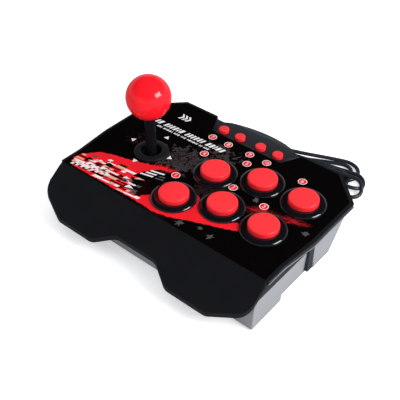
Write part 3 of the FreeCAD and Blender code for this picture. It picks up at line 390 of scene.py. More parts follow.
def turned_steel(name, colour, roughness):
    """Drawn or turned steel with fine rings across its length."""
    material, tree, shader = new_material(name)
    shader.inputs["Metallic"].default_value = 1.0
    where = tree.nodes.new("ShaderNodeTexCoord")
    rings = tree.nodes.new("ShaderNodeTexWave")
    rings.bands_direction = "Z"
    rings.inputs["Scale"].default_value = 900.0
    rings.inputs["Distortion"].default_value = 1.5
    tree.links.new(where.outputs["Object"], rings.inputs["Vector"])
    dark = [RING_SHADE * c for c in colour]
    tree.links.new(colour_mix(tree, rings.outputs["Fac"], dark, colour), shader.inputs["Base Color"])
    gloss = tree.nodes.new("ShaderNodeMapRange")
    gloss.inputs["To Min"].default_value = roughness - RING_SPREAD
    gloss.inputs["To Max"].default_value = roughness + RING_SPREAD
    tree.links.new(rings.outputs["Fac"], gloss.inputs["Value"])
    tree.links.new(gloss.outputs[0], shader.inputs["Roughness"])
    return material


STEEL = turned_steel("steel", (0.58, 0.58, 0.60), 0.32)
finish_solid(STEEL, "cover_screws", "stick_shaft", "cross_pin", "gimbal_pins")

# The panel sheet: a thin gloss black film, printed from behind, stuck into the rim.
# Near the lever the print fades into grey and dark red spatter, and dry red strokes run out at the right.
PANEL_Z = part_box("panel_overlay")[1][2]


def spot_mask(tree, where, middle, half, turn=0.0):
    """1 at the middle of a turned ellipse in the plane of the panel, falling to 0 at its edge."""
    place = tree.nodes.new("ShaderNodeMapping")
    place.vector_type = "TEXTURE"
    place.inputs["Location"].default_value = (middle[0] * MM, middle[1] * MM, PANEL_Z)
    place.inputs["Rotation"].default_value = (0, 0, math.radians(turn))
    place.inputs["Scale"].default_value = (half[0] * MM, half[1] * MM, 1)
    tree.links.new(where, place.inputs["Vector"])
    reach = tree.nodes.new("ShaderNodeVectorMath")
    reach.operation = "LENGTH"
    tree.links.new(place.outputs[0], reach.inputs[0])
    fade = tree.nodes.new("ShaderNodeMapRange")
    fade.interpolation_type = "SMOOTHSTEP"
    fade.inputs["From Min"].default_value = 1.0
    fade.inputs["From Max"].default_value = 0.0
    tree.links.new(reach.outputs["Value"], fade.inputs["Value"])
    return place.outputs[0], fade.outputs[0]


def spatter(tree, base, ink, mask, vector, scale, level, fall=0.45, stretch=(1, 1, 1)):
    """Lay an ink over a colour wherever fine noise passes a level, which rises as a mask fades."""
    stretched = tree.nodes.new("ShaderNodeVectorMath")
    stretched.operation = "MULTIPLY"
    stretched.inputs[1].default_value = stretch
    tree.links.new(vector, stretched.inputs[0])
    noise = tree.nodes.new("ShaderNodeTexNoise")
    noise.inputs["Scale"].default_value = scale
    noise.inputs["Detail"].default_value = 8.0
    noise.inputs["Roughness"].default_value = 0.68
    tree.links.new(stretched.outputs[0], noise.inputs["Vector"])
    lifted = tree.nodes.new("ShaderNodeMath")
    lifted.operation = "MULTIPLY_ADD"
    lifted.inputs[1].default_value = fall
    tree.links.new(mask, lifted.inputs[0])
    tree.links.new(noise.outputs["Fac"], lifted.inputs[2])
    edge = tree.nodes.new("ShaderNodeMapRange")
    edge.inputs["From Min"].default_value = level + fall
    edge.inputs["From Max"].default_value = level + fall + 0.015
    tree.links.new(lifted.outputs[0], edge.inputs["Value"])
    return colour_mix(tree, edge.outputs[0], base, ink)


PANEL_BLACK = (0.0011, 0.0008, 0.0008)
PRINT_RED = (0.72, 0.012, 0.020)
PRINT_GREY = (0.036, 0.030, 0.031)
PRINT_DUST = (0.22, 0.008, 0.012)
PRINT_DIM = (0.017, 0.007, 0.007)
sheet, tree, shader = new_material("printed_sheet")
where = tree.nodes.new("ShaderNodeTexCoord").outputs["Object"]
dust = tree.nodes.new("ShaderNodeTexNoise")
dust.inputs["Scale"].default_value = 260.0
dust.inputs["Detail"].default_value = 5.0
tree.links.new(where, dust.inputs["Vector"])
colour = colour_mix(tree, dust.outputs["Fac"], PANEL_BLACK, [1.9 * c for c in PANEL_BLACK])
for middle, half, turn, ink, scale, level in (
    ((-28, 5), (56, 40), 15, PRINT_GREY, 240.0, 0.36),
    ((-72, 4), (38, 30), 0, PRINT_DIM, 300.0, 0.50),
    ((-8, 32), (60, 30), 0, PRINT_GREY, 300.0, 0.45),
    ((14, -4), (40, 42), 0, PRINT_DIM, 240.0, 0.38),
    ((-34, 6), (70, 50), 10, PANEL_BLACK, 520.0, 0.50),
    ((-29, -11), (27, 9), 12, PRINT_DUST, 480.0, 0.36),
    ((-31, -12), (24, 7), 12, PRINT_RED, 620.0, 0.40),
    ((-20, 10), (90, 60), 0, PRINT_DIM, 380.0, 0.56),
):
    _, mask = spot_mask(tree, where, middle, half, turn)
    colour = spatter(tree, colour, ink, mask, where, scale, level)
for middle, half, turn, scale, level in (
    ((58, -4.0), (30, 10), 16, 3.4, 0.42),
    ((80, 2.5), (30, 9), 15, 4.4, 0.45),
):
    along, mask = spot_mask(tree, where, middle, half, turn)
    colour = spatter(tree, colour, PRINT_DUST, mask, along, scale, level, 0.30, (0.8, 4.0, 0))
    colour = spatter(tree, colour, PRINT_RED, mask, along, 1.3 * scale, level + 0.08, 0.30, (0.8, 4.0, 0))
tree.links.new(colour, shader.inputs["Base Color"])
shader.inputs["Roughness"].default_value = 0.14
shader.inputs["Specular IOR Level"].default_value = 0.10
film = tree.nodes.new("ShaderNodeBump")
film.inputs["Strength"].default_value = 0.03
film.inputs["Distance"].default_value = 0.0003
tree.links.new(dust.outputs["Fac"], film.inputs["Height"])
tree.links.new(film.outputs[0], shader.inputs["Normal"])
finish_solid(sheet, "panel_overlay")


# The solid inks of the panel: a red sweep and field with torn edges, slanting bars and shards over it,
# a strip of checks, white pointers round the lever, and a numbered red badge beside each button.
def ink_finish(name, colour, fade=0.12):
    """A printed ink under the film: faintly uneven, as glossy as the sheet."""
    return moulded(name, colour, 0.15, grain=900, relief=0.02, mottle=fade, spread=0.02, shine=0.10)


def ragged(points, seed, step, tear):
    """An outline with its runs broken into short steps and pushed in and out at random."""
    draw = random.Random(seed)
    torn = []
    for (ax, ay), (bx, by) in zip(points, points[1:] + points[:1]):
        run = math.hypot(bx - ax, by - ay)
        count = max(1, round(run / step))
        for i in range(count):
            push = draw.uniform(-tear, tear) if i else 0.0
            share = i / count
            torn.append((
                ax + (bx - ax) * share - (by - ay) / run * push,
                ay + (by - ay) * share + (bx - ax) / run * push,
            ))
    return torn


INK_GAP, INK_FIRST, INK_LAYER = 0.002, 0.012, 0.010


def ink_mesh(name, outlines, layer):
    """Flat shapes on the panel as thin solids, each layer a hundredth of a millimetre over the last."""
    shape = bmesh.new()
    low, high = PANEL_Z + INK_GAP * MM, PANEL_Z + (INK_FIRST + INK_LAYER * layer) * MM
    for outline in outlines:
        bottom = [shape.verts.new((x * MM, y * MM, low)) for x, y in outline]
        top = [shape.verts.new((x * MM, y * MM, high)) for x, y in outline]
        count = len(outline)
        shape.faces.new(top)
        shape.faces.new(bottom[::-1])
        for i in range(count):
            j = (i + 1) % count
            shape.faces.new((bottom[i], bottom[j], top[j], top[i]))
    bmesh.ops.recalc_face_normals(shape, faces=shape.faces)
    bmesh.ops.triangulate(shape, faces=[face for face in shape.faces if len(face.verts) > 4])
    mesh = bpy.data.meshes.new(name)
    shape.to_mesh(mesh)
    shape.free()
    return mesh


def print_piece(name, outlines, layer, ink):
    """One ink of the print, laid on the sheet."""
    add_piece(name, ink_mesh(name, outlines, layer), ink, "housing", "printed_sheet")


def circle(x, y, radius, count=40):
    """A round outline."""
    return [
        (x + radius * math.cos(2 * math.pi * i / count), y + radius * math.sin(2 * math.pi * i / count))
        for i in range(count)
    ]


INK_RED = ink_finish("ink_red", PRINT_RED)
INK_WHITE = ink_finish("ink_white", (0.70, 0.69, 0.69), 0.05)
INK_CREAM = ink_finish("ink_cream", (0.62, 0.36, 0.25), 0.10)
INK_SMOKE = ink_finish("ink_smoke", (0.062, 0.060, 0.062), 0.25)
INK_BLACK = ink_finish("ink_black", (0.0016, 0.0015, 0.0016), 0.10)
INKS = {"black": INK_BLACK, "red": INK_RED, "white": INK_WHITE, "cream": INK_CREAM, "smoke": INK_SMOKE}

sweep = [
    (-96.5, -47), (-93, -38), (-84.6, -28.8), (-73.2, -24.3), (-54.5, -19.7), (-41, -14.3), (-34.5, -12.4),
    (-32, -14.2), (-36, -18.5), (-41, -25), (-45, -34), (-36, -43), (-25, -50), (-24, -53.5), (-60, -54.4),
    (-90, -54.4),
]
field = [
    (-24, -53.5), (-25, -49), (-21, -45), (-17, -41), (-8, -42), (3, -48), (12, -42), (11, -30), (9.6, -19),
    (14, -22), (19.4, -28.4), (27, -33), (34.3, -33.5), (46, -29), (51, -24), (56, -27), (56, -31.5),
    (39.3, -38.6), (24.8, -44), (8.7, -51.5), (-4, -54.4),
]
reds = [ragged(sweep, seed=3, step=1.6, tear=0.45), ragged(field, seed=5, step=1.8, tear=0.35)]
print_piece("print_red", reds, 1, INK_RED)


def placed(outline, x, y, turn):
    """An outline turned about its own zero and moved to a spot."""
    cos, sin = math.cos(math.radians(turn)), math.sin(math.radians(turn))
    return [(x + u * cos - v * sin, y + u * sin + v * cos) for u, v in outline]


def bar(x, y, long, wide, turn, lean=0.55):
    """A slanting bar: a parallelogram turned about its lower left corner."""
    return placed(((0, 0), (long, 0), (long + lean * wide, wide), (lean * wide, wide)), x, y, turn)


# Rows of slanting bars in mixed inks fill the left of the sweep, from the front edge up to a peaked top.
ROW_START, ROW_TURN, ROW_STEP, ROW_LENGTH, ROW_SLOPE = (-96.0, -54.0), 6.0, 2.7, 74, 0.105
PEAK = [(0, 11), (4, 16), (32, 22.5), (47, 20), (66, 9), (75, -6)]
PEAK_PAST, PEAK_SLACK = -9, 1
BAR_LENGTHS, BAR_WIDTHS, INK_SHARES = (3, 4, 5, 7, 9, 12), (0.55, 0.8, 0.95), (34, 18, 20, 14, 14)


def on_row(along, across):
    """A spot on the panel, given along and across the rows."""
    return placed([(along, across)], *ROW_START, ROW_TURN)[0]


def peak_at(along):
    """How far across the rows the bars reach, at a spot along them."""
    for (ax, ay), (bx, by) in zip(PEAK, PEAK[1:]):
        if along <= bx:
            return ay + (by - ay) * (along - ax) / (bx - ax)
    return PEAK_PAST


bars = {name: [] for name in INKS}
draw = random.Random(11)
for row in range(-3, 9):
    across = row * ROW_STEP
    along = max(0.0, -across / ROW_SLOPE) + draw.uniform(0, 3)
    while along < ROW_LENGTH:
        long = draw.choice(BAR_LENGTHS) * draw.uniform(0.8, 1.2)
        if across + ROW_STEP < peak_at(along + 0.5 * long) + PEAK_SLACK:
            ink = draw.choices(list(INKS), INK_SHARES)[0]
            wide = ROW_STEP * draw.choice(BAR_WIDTHS)
            bars[ink].append(bar(*on_row(along, across), long, wide, ROW_TURN))
        along += long + draw.uniform(0.2, 0.9)
LOOSE_WIDE, LOOSE_TURN = 1.5, 14
for name, spots in (
    ("white", ((-37.5, -21.0, 12), (-39.0, -24.6, 9), (-41.5, -28.4, 11))),
    ("smoke", ((-27.6, -22.2, 5), (-28.6, -25.6, 7))),
):
    bars[name] += [bar(*spot, LOOSE_WIDE, LOOSE_TURN) for spot in spots]
for name, ink in INKS.items():
    print_piece(f"print_bars_{name}", bars[name], 2, ink)

SHARD_PEAK = 0.35
for layer, (name, count) in enumerate((("black", 8), ("cream", 7), ("white", 7)), start=3):
    shards = []
    for _ in range(count):
        spot = on_row(draw.uniform(8, 62), draw.uniform(0, 13))
        long, wide, lean = draw.uniform(6, 11), draw.uniform(2, 3.6), draw.uniform(15, 32)
        shards.append(placed(((0, 0), (long, 0), (SHARD_PEAK * long, wide)), *spot, lean))
    print_piece(f"print_shards_{name}", shards, layer, INKS[name])


def splat(x, y, radius, seed, count=13):
    """A blot with uneven points."""
    draw = random.Random(seed)
    blot = []
    for i in range(count):
        reach = radius * (draw.uniform(0.6, 1.55) if i % 2 else draw.uniform(0.4, 0.95))
        angle = 2 * math.pi * (i + draw.uniform(-0.4, 0.4)) / count
        blot.append((x + reach * math.cos(angle), y + reach * math.sin(angle)))
    return blot


SMUDGE_SPOTS = [
    (18.9, -51.0, 2.9), (44.9, -48.0, 2.6), (46.5, 4.2, 2.4), (94, -2.5, 2.6), (34.2, -45.6, 2.0),
]
smudges = [splat(*spot, seed) for seed, spot in enumerate(SMUDGE_SPOTS, start=20)]
print_piece("print_smudges", smudges, 1, INK_SMOKE)

POINTER = ((2.1, 0), (-1.7, 2.4), (-1.7, -2.4))
POINTER_SPOTS = ((-76.5, 0.6, 180), (-56.6, 20.6, 90), (-36.4, 1.2, 0), (-55.8, -19.4, 270))
print_piece("print_pointers", [placed(POINTER, *spot) for spot in POINTER_SPOTS], 4, INK_WHITE)


def tile_grid(name, count, lines, side, depth):
    """A grid of thin square tiles with every second one left out, made by a node tree."""
    inputs = (
        ("Count", "NodeSocketInt", count),
        ("Lines", "NodeSocketInt", lines),
        ("Side", "NodeSocketFloat", side),
        ("Depth", "NodeSocketFloat", depth),
        ("Ink", "NodeSocketMaterial", INK_WHITE),
    )
    tree = bpy.data.node_groups.new(name, "GeometryNodeTree")
    for label, kind, _ in inputs:
        tree.interface.new_socket(label, in_out="INPUT", socket_type=kind)
    tree.interface.new_socket("Geometry", in_out="OUTPUT", socket_type="NodeSocketGeometry")
    given = tree.nodes.new("NodeGroupInput")
    made = tree.nodes.new("NodeGroupOutput")

    def calc(operation, first, second):
        """A math node on two values, each a number or the output of a node."""
        node = tree.nodes.new("ShaderNodeMath")
        node.operation = operation
        for socket, value in zip(node.inputs, (first, second)):
            if isinstance(value, bpy.types.NodeSocket):
                tree.links.new(value, socket)
            else:
                socket.default_value = value
        return node.outputs[0]

    grid = tree.nodes.new("GeometryNodeMeshGrid")
    for axis, label in (("X", "Count"), ("Y", "Lines")):
        run = calc("MULTIPLY", calc("SUBTRACT", given.outputs[label], 1.0), given.outputs["Side"])
        tree.links.new(run, grid.inputs[f"Size {axis}"])
        tree.links.new(given.outputs[label], grid.inputs[f"Vertices {axis}"])
    index = tree.nodes.new("GeometryNodeInputIndex").outputs[0]
    column = calc("FLOOR", calc("DIVIDE", index, given.outputs["Lines"]), 0.0)
    line = calc("MODULO", index, given.outputs["Lines"])
    odd = calc("MODULO", calc("ADD", column, line), 2.0)
    thinned = tree.nodes.new("GeometryNodeDeleteGeometry")
    tree.links.new(grid.outputs["Mesh"], thinned.inputs["Geometry"])
    tree.links.new(odd, thinned.inputs["Selection"])
    size = tree.nodes.new("ShaderNodeCombineXYZ")
    for axis, label in (("X", "Side"), ("Y", "Side"), ("Z", "Depth")):
        tree.links.new(given.outputs[label], size.inputs[axis])
    tile = tree.nodes.new("GeometryNodeMeshCube")
    tree.links.new(size.outputs[0], tile.inputs["Size"])
    spread = tree.nodes.new("GeometryNodeInstanceOnPoints")
    tree.links.new(thinned.outputs[0], spread.inputs["Points"])
    tree.links.new(tile.outputs["Mesh"], spread.inputs["Instance"])
    real = tree.nodes.new("GeometryNodeRealizeInstances")
    tree.links.new(spread.outputs[0], real.inputs[0])
    dyed = tree.nodes.new("GeometryNodeSetMaterial")
    tree.links.new(real.outputs[0], dyed.inputs["Geometry"])
    tree.links.new(given.outputs["Ink"], dyed.inputs["Material"])
    tree.links.new(dyed.outputs[0], made.inputs[0])

    host = bpy.data.objects.new(f"{name}_host", bpy.data.meshes.new(f"{name}_host"))
    modifier = host.modifiers.new("tiles", "NODES")
    modifier.node_group = tree
    sockets = {item.name: item.identifier for item in tree.interface.items_tree if item.in_out == "INPUT"}
    for label, _, value in inputs:
        modifier[sockets[label]] = value
    return plain_mesh(host)


CHECKS_TURN, CHECKS_LEAN, CHECKS_LIFT = 12, 0.45, 0.045
checks = tile_grid("print_checks", count=14, lines=3, side=2.3 * MM, depth=0.01 * MM)
checks.transform(
    Matrix.Translation((-76 * MM, -47.2 * MM, PANEL_Z + CHECKS_LIFT * MM))
    @ Matrix.Rotation(math.radians(CHECKS_TURN), 4, "Z")
    @ Matrix(((1, CHECKS_LEAN, 0, 0), (0, 1, 0, 0), (0, 0, 1, 0), (0, 0, 0, 1)))
)
add_piece("print_checks", checks, INK_WHITE, "housing", "printed_sheet")

STROKE_TURN, STROKE_LEAN, STROKE_RISE, STROKE_GAP, GROUP_GAP = 1.5, 0.42, 0.02, 0.45, 0.8
CHEVRON = ((0, 0), (1.9, 0), (4.4, 3.6), (1.9, 7.2), (0, 7.2), (2.5, 3.6))
CHEVRON_X, CHEVRON_Y, CHEVRON_STEP = -69, 48.0, 3.6
strokes = []
for start, end, line, tall, widest in ((-81, -19, 31.4, 5.0, 3.0), (-75, -24, 27.6, 1.9, 1.7)):
    x = start
    while x < end:
        for _ in range(draw.choice((2, 3, 5, 6))):
            wide = draw.uniform(0.4, 1.0) * widest
            strokes.append(bar(x, line + STROKE_RISE * (x - start), wide, tall, STROKE_TURN, STROKE_LEAN))
            x += wide + STROKE_GAP * widest
        x += GROUP_GAP * widest
for step in range(3):
    strokes.append([(CHEVRON_X + CHEVRON_STEP * step + u, CHEVRON_Y + v) for u, v in CHEVRON])
print_piece("print_strokes", strokes, 2, INK_WHITE)

BADGE_RING, BADGE_DISC = 3.55, 3.05
BADGE_SPOTS = {
    1: (-18.6, -12.0), 2: (24.5, 4.7), 3: (55.1, 2.1), 4: (-19.2, 23.4), 5: (15.0, 34.7), 6: (60.9, 44.4),
    7: (-28.2, 45.3), 8: (-11.7, 45.2), 9: (9.6, 45.7), 10: (26.3, 45.6),
}
print_piece("badge_rings", [circle(x, y, BADGE_RING) for x, y in BADGE_SPOTS.values()], 4, INK_WHITE)
print_piece("badge_discs", [circle(x, y, BADGE_DISC) for x, y in BADGE_SPOTS.values()], 5, INK_RED)

FIGURE_SIZE, FIGURE_PAIR_SIZE, FIGURE_HALF, FIGURE_LIFT = 5.0, 3.9, 0.004, 0.072
digits = bmesh.new()
for figure, (x, y) in BADGE_SPOTS.items():
    curve = bpy.data.curves.new(f"figure_{figure}", "FONT")
    curve.body = str(figure)
    curve.size = (FIGURE_SIZE if figure < 10 else FIGURE_PAIR_SIZE) * MM
    curve.extrude = FIGURE_HALF * MM
    curve.align_x = "CENTER"
    curve.align_y = "CENTER"
    flat = plain_mesh(bpy.data.objects.new(f"figure_{figure}", curve))
    flat.transform(Matrix.Translation((x * MM, y * MM, PANEL_Z + FIGURE_LIFT * MM)))
    digits.from_mesh(flat)
    bpy.data.meshes.remove(flat)
digit_mesh = bpy.data.meshes.new("badge_figures")
digits.to_mesh(digit_mesh)
digits.free()
add_piece("badge_figures", digit_mesh, INK_WHITE, "housing", "printed_sheet")


# The collar: a flat ring of satin black plastic on the panel round the lever's opening, which hides the
# cut-out in the plate. Its outer rim is soft and its inner edge is rounded.
def turn_mesh(name, profile, x, y, z, count):
    """A closed body of revolution from a closed section in radius and height, in millimetres."""
    shape = bmesh.new()
    rings = []
    for i in range(count):
        angle = 2 * math.pi * i / count
        cos, sin = math.cos(angle), math.sin(angle)
        rings.append([
            shape.verts.new(((x + r * cos) * MM, (y + r * sin) * MM, (z + h) * MM)) for r, h in profile
        ])
    size = len(profile)
    for i in range(count):
        near, far = rings[i], rings[(i + 1) % count]
        for j in range(size):
            k = (j + 1) % size
            if profile[j][0] == 0 and profile[k][0] == 0:
                continue
            shape.faces.new((near[j], far[j], far[k], near[k]))
    bmesh.ops.remove_doubles(shape, verts=shape.verts, dist=1e-7)
    bmesh.ops.recalc_face_normals(shape, faces=shape.faces)
    mesh = bpy.data.meshes.new(name)
    shape.to_mesh(mesh)
    shape.free()
    shade(mesh)
    return mesh


def add_turned(name, profile, place, base, material, body, slot, replaced, count=72):
    """A turned piece on an upright axis at a place in plan, its section measured from a base height."""
    mesh = turn_mesh(name, profile, *place, base, count)
    return add_piece(name, mesh, material, body, slot, replaced)


def arc(r, h, across, up, start, end, count):
    """Points on an ellipse in a section, from one angle to another in degrees."""
    steps = [math.radians(start + (end - start) * i / count) for i in range(count + 1)]
    return [(r + across * math.cos(a), h + up * math.sin(a)) for a in steps]


def middle_of(node):
    """The place in plan of a node's own axis, in millimetres."""
    low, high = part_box(node)
    return (low[0] + high[0]) / 2 / MM, (low[1] + high[1]) / 2 / MM


STICK = middle_of("stick_collar")
PANEL = PANEL_Z / MM
COLLAR_BLACK = moulded("collar_black", (0.0075, 0.0078, 0.0090), 0.42, relief=0.16, mottle=0.2, shine=0.25)
collar = [(8.4, 0), (14.1, 0), (14.1, 0.9)] + arc(13.3, 0.9, 0.8, 0.8, 0, 75, 6)
collar += [(12.4, 1.95), (11.0, 2.25)] + arc(9.3, 1.5, 0.9, 0.75, 90, 180, 6) + [(8.4, 1.2)]
add_turned("lever_collar", collar, STICK, PANEL, COLLAR_BLACK, "housing", "collar_black", "stick_collar")

# The lever: a polished red phenolic ball screwed on a steel shaft. Below it a black tube covers the shaft,
# and a dust dome of the same plastic moves with it under the collar.
SHAFT, SLEEVE, SLEEVE_EDGE = 3.0, 4.3, 0.4
BALL, BALL_FLAT, BALL_BORE = 17.6, 17.0, 19.0
DOME, DOME_INSIDE, DOME_SKIRT = 13.2, 11.4, 6.0
BALL_RED = moulded(
    "ball_red", (0.93, 0.009, 0.018), 0.12, grain=600, relief=0.01, mottle=0.02, spread=0.02, shine=0.4,
)
ball_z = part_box("ball_top")[1][2] / MM - BALL
flat = math.degrees(math.asin(-BALL_FLAT / BALL))
ball = [(0, BALL_BORE - BALL_FLAT), (SHAFT, BALL_BORE - BALL_FLAT), (SHAFT, -BALL_FLAT)]
ball += arc(0, 0, BALL, BALL, flat, 90, 44)
ball[-1] = (0, BALL)
add_turned("lever_ball", ball, STICK, ball_z, BALL_RED, "stick", "ball_red", "ball_top", 96)
SLEEVE_BLACK = moulded(
    "sleeve_black", (0.0040, 0.0044, 0.0068), 0.30, grain=700, relief=0.05, mottle=0.15, shine=0.10,
)
low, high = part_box("shaft_sleeve")
tube_low, tube_high = low[2] / MM, high[2] / MM
tube = [(SHAFT, tube_low), (SLEEVE, tube_low)]
tube += arc(SLEEVE - SLEEVE_EDGE, tube_high - SLEEVE_EDGE, SLEEVE_EDGE, SLEEVE_EDGE, 0, 90, 4)
tube.append((SHAFT, tube_high))
add_turned("lever_tube", tube, STICK, 0, SLEEVE_BLACK, "stick", "sleeve_black", "shaft_sleeve", 64)
pivot_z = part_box("dust_dome")[0][2] / MM - DOME_SKIRT
skirt_out, skirt_in = (math.degrees(math.asin(DOME_SKIRT / radius)) for radius in (DOME, DOME_INSIDE))
top_out, top_in = (math.degrees(math.acos(SHAFT / radius)) for radius in (DOME, DOME_INSIDE))
dome = arc(0, 0, DOME, DOME, skirt_out, top_out, 16)
dome += arc(0, 0, DOME_INSIDE, DOME_INSIDE, top_in, skirt_in, 16)
add_turned("lever_dome", dome, STICK, pivot_z, SLEEVE_BLACK, "stick", "sleeve_black", "dust_dome")

# The push buttons: a polished black bezel with a crowned rim, snapped into the plate, and a satin red plunger
# with a softly rounded top edge standing out of it.
BEZEL_BLACK = moulded(
    "bezel_black", (0.0035, 0.0038, 0.0055), 0.13,
    grain=500, relief=0.01, mottle=0.15, spread=0.03, shine=0.8,
)
BUTTON_RED = moulded(
    "button_red", (0.86, 0.023, 0.030), 0.40, grain=1300, relief=0.05, mottle=0.03, shine=0.3,
)
bezel = [(12.0, 2.2)] + arc(12.4, 2.2, 0.4, 0.4, 180, 90, 4) + arc(13.6, 0.35, 4.1, 2.25, 90, 0, 14)
bezel += [
    (17.7, 0), (13.6, 0), (13.6, -2.8), (14.4, -3.2), (13.6, -4.4), (13.6, -13), (12.8, -13), (12.8, -4.5),
    (12.0, -4.5),
]
plunger = [
    (0, -8.5), (3.2, -8.5), (3.2, 4.1), (10.1, 4.1), (10.1, -6.3), (12.5, -6.3), (12.5, -4.8), (11.6, -4.8),
]
plunger += arc(10.2, 5.0, 1.4, 1.35, 0, 80, 8) + [(8.0, 6.44), (4.0, 6.49), (0, 6.5)]
for i in range(1, 7):
    place = middle_of(f"button_bezel_{i}")
    add_turned(
        f"bezel_{i}", bezel, place, PANEL, BEZEL_BLACK, "housing", "bezel_black", f"button_bezel_{i}",
    )
    add_turned(
        f"plunger_{i}", plunger, place, PANEL, BUTTON_RED, f"button_{i}", "button_red", f"button_plunger_{i}",
    )

# The small buttons: red caps with a rounded edge that stand out of round holes in the ledge. A flange
# below keeps each one in, and it rests on the stem of a switch.
CAP_RED = moulded("cap_red", (0.80, 0.024, 0.034), 0.38, grain=1300, relief=0.05, mottle=0.04, shine=0.3)
cap_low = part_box("menu_cap_1")[0][2] / MM - PANEL
cap = [(0, cap_low), (2.0, cap_low), (2.0, -6.4), (5.4, -6.4), (5.4, -5.2), (4.35, -5.2)]
cap += arc(3.45, 1.0, 0.9, 0.8, 0, 80, 6) + [(2.0, 1.87), (0, 1.9)]
for i in range(1, 5):
    place = middle_of(f"menu_cap_{i}")
    add_turned(
        f"small_cap_{i}", cap, place, PANEL, CAP_RED, f"menu_{i}", "cap_red", f"menu_cap_{i}", 48,
    )

# What works inside: moulded lever box, gate, gimbal and actuator, a spring and a clip of spring steel,
# switches and a board, and a pale rubber dome under each plunger. In the real part the dome flattens as the
# plunger goes down; here it keeps its shape.
MECHANISM = moulded("mechanism_plastic", (0.03, 0.03, 0.034), 0.5, relief=0.2, mottle=0.2)
SWITCH_BLACK = moulded("switch_black", (0.02, 0.02, 0.021), 0.45, relief=0.2, mottle=0.2)
BOARD_GREEN = moulded("board_green", (0.012, 0.11, 0.04), 0.3, grain=300, relief=0.1, mottle=0.3)
SILICONE = moulded("silicone_clear", (0.55, 0.55, 0.52), 0.5, grain=800, relief=0.08, mottle=0.06)
finish_solid(MECHANISM, "lever_housing", "restrictor_gate", "gimbal_ring", "actuator")
finish_solid(turned_steel("spring_steel", (0.45, 0.45, 0.48), 0.28), "centring_spring", "retaining_clip")
finish_solid(SWITCH_BLACK, "menu_switches", "controller_chip")
finish_solid(SWITCH_BLACK, *(f"lever_switch_{side}" for side in ("back", "front", "left", "right")))
finish_solid(BOARD_GREEN, "button_board")
RUBBER_RADIUS, RUBBER_TIP, RUBBER_WALL, PRESS_DEPTH = 7.5, 3.8, 1.2, 3.0
RUBBER_INSIDE = RUBBER_RADIUS - RUBBER_WALL
for i in range(1, 7):
    low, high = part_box(f"return_dome_{i}")
    tall = (high[2] - low[2]) / MM
    rubber = [(0, tall), (0, tall - RUBBER_WALL), (RUBBER_TIP - RUBBER_WALL, tall - RUBBER_WALL)]
    rubber += [(RUBBER_INSIDE, 0.5 * RUBBER_WALL), (RUBBER_INSIDE, 0), (RUBBER_RADIUS, 0)]
    rubber += [(RUBBER_RADIUS, RUBBER_WALL), (RUBBER_TIP, tall - RUBBER_WALL), (RUBBER_TIP, tall)]
    place = middle_of(f"return_dome_{i}")
    dome = add_turned(
        f"rubber_dome_{i}", rubber, place, low[2] / MM, SILICONE, "housing", "silicone_clear",
        f"return_dome_{i}", 48,
    )
    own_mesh(dome)

# The lead: a limp gloss black cord that leaves a ribbed strain relief at the back, drops to the table and
# lies there folded into five loose turns, tied near the middle, with the plug beyond the last fold.
CORD_BLACK = moulded("cord_black", (0.016, 0.019, 0.026), 0.26, grain=900, relief=0.05, mottle=0.2)
CORD_RADIUS = 1.65
HANK_X, HANK_Y, HANK_TURN = 4.0, 98.6, math.radians(8.0)
TIE_REACH, RUN_IN, LOBE_U, LOBE_DROP = 8.0, 4, -40.5, 0.85
lead_route = [(26.50, 83.09, 15.0), (31.66, 92.80, 15.0), (42.5, 97.6, 10.8), (54, 96.5, 7.4)]
tail_route = [(-45, 93.6, 8.9), (-50.5, 92.8, 7.6), (-55.2, 92, 4.6), (-60, 91.2, 4.6)]


def on_hank(u, v, z):
    """A spot given along and across the hank, in millimetres of the shared frame."""
    cos, sin = math.cos(HANK_TURN), math.sin(HANK_TURN)
    return HANK_X + u * cos - v * sin, HANK_Y + u * sin + v * cos, z


# Each turn: middle and radius of its right fold, its height before, at and after the fold, its place across
# and up in the tie, and the radius of the left fold that follows; the last turn goes on into the tail.
turns = (
    ((71.5, -8.1), 9.0, (1.8, 1.8, 8.6), (1.7, 6.0), 9.0),
    ((69.3, 0.8), 9.5, (5.2, 1.8, 5.2), (5.1, 6.0), 12.3),
    ((56.5, -2.6), 9.0, (2.0, 2.8, 6.4), (1.7, 2.65), 9.0),
    ((54.1, 12.2), 9.2, (1.8, 1.8, 1.8), (5.1, 2.65), 12.3),
    ((55.3, 12.8), 14.0, (1.8, 1.8, 1.8), (5.1, 9.35), None),
)
route = lead_route + [(66, 92.5, 4.0)]
for (end_u, end_v), radius, (before, fold, after), (across, up), lobe in turns:
    route.append(on_hank(end_u - RUN_IN, end_v - radius, before))
    for angle in (-75, -45, -15, 15, 45, 75):
        side = math.sin(math.radians(angle))
        height = fold + abs(side) * ((after if side > 0 else before) - fold)
        route.append(on_hank(end_u + radius * math.cos(math.radians(angle)), end_v + radius * side, height))
    route.append(on_hank(end_u - RUN_IN, end_v + radius, after))
    route += [on_hank(TIE_REACH, across, up), on_hank(-TIE_REACH, across, up)]
    if lobe is None:
        break
    for angle in (90, 120, 150, 180, 210, 240, 270):
        along, side = math.cos(math.radians(angle)), math.sin(math.radians(angle))
        route.append(on_hank(LOBE_U + lobe * along, lobe * side, up - LOBE_DROP))
    route += [on_hank(-TIE_REACH, -across, up), on_hank(TIE_REACH, -across, up)]
route += [(-22, 98, 9.2), (-36, 95.5, 9.4)] + tail_route

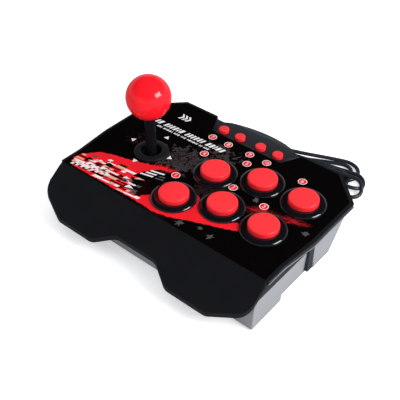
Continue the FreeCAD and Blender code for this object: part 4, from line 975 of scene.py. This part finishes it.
cord_curve = bpy.data.curves.new("lead_cord", "CURVE")
cord_curve.dimensions = "3D"
spline = cord_curve.splines.new("NURBS")
spline.points.add(len(route) - 1)
for point, (x, y, z) in zip(spline.points, route):
    point.co = (x * MM, y * MM, z * MM, 1)
spline.order_u = 3
spline.use_endpoint_u = True
spline.resolution_u = 8
cord_curve.bevel_depth = CORD_RADIUS * MM
cord_curve.bevel_resolution = 4
cord_curve.use_fill_caps = True
cord_curve.materials.append(CORD_BLACK)
cord = bpy.data.objects.new("lead_cord", cord_curve)
scene.collection.objects.link(cord)
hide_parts("lead_free", "lead_hank", "lead_tail")
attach(cord, "housing")

RIBS, RIB_PITCH, RIB_OUTSIDE, RIB_TAPER, RIB_DEPTH = 4, 2.0, 4.1, 1.1, 0.7
RELIEF_SUNK = 3.0
relief = [(1.7, -4.0), (5.6, -4.0), (5.6, -2.8), (4.2, -2.8), (4.2, 0), (5.5, 0)]
relief += arc(4.6, 0.2, 1.0, 1.0, 0, 90, 4)
for step in range(RIBS):
    height = RIB_PITCH + RIB_PITCH * step
    outer = RIB_OUTSIDE - RIB_TAPER * step / (RIBS - 1)
    inner = outer - RIB_DEPTH
    relief += [(inner, height - 0.2), (inner, height + 0.3), (outer, height + 0.6), (outer, height + 1.5)]
relief += [(2.5, 10.0), (1.7, 10.0)]
relief_mesh = turn_mesh("relief_sleeve", relief, 0, 0, 0, 48)
exit_way = Vector(lead_route[1]) - Vector(lead_route[0])
exit_spot = Vector(lead_route[0]) - RELIEF_SUNK * exit_way.normalized()
relief_mesh.transform(
    Matrix.Translation(exit_spot * MM) @ exit_way.to_track_quat("Z", "Y").to_matrix().to_4x4()
)
relief_piece = add_piece("relief_sleeve", relief_mesh, CORD_BLACK, "housing", "cord_black", "strain_relief")

# The tie and the plug: a flat black strap pulled round the turns, and at the end of the lead a tapered grip
# moulded on the cord, with a folded steel shell and a white core.
TIE_BLACK = moulded("tie_black", (0.02, 0.02, 0.022), 0.5, grain=700, relief=0.3, mottle=0.2)
tie_mesh = eased("lead_tie", 0.3 * MM, longer_than(0.002))
tie = add_piece("cord_tie", tie_mesh, TIE_BLACK, "housing", "tie_black", "lead_tie")
PLUG_BLACK = moulded("plug_black", (0.014, 0.014, 0.016), 0.45, grain=1100, relief=0.2, mottle=0.2)
plug_mesh = eased("plug_grip", 0.8 * MM, longer_than(0.0004))
plug = add_piece("plug_body", plug_mesh, PLUG_BLACK, "housing", "plug_black", "plug_grip")
finish_solid(turned_steel("plug_steel", (0.68, 0.68, 0.68), 0.25), "plug_shell")
finish_solid(moulded("plug_white", (0.75, 0.75, 0.74), 0.45, mottle=0.04), "plug_insert")
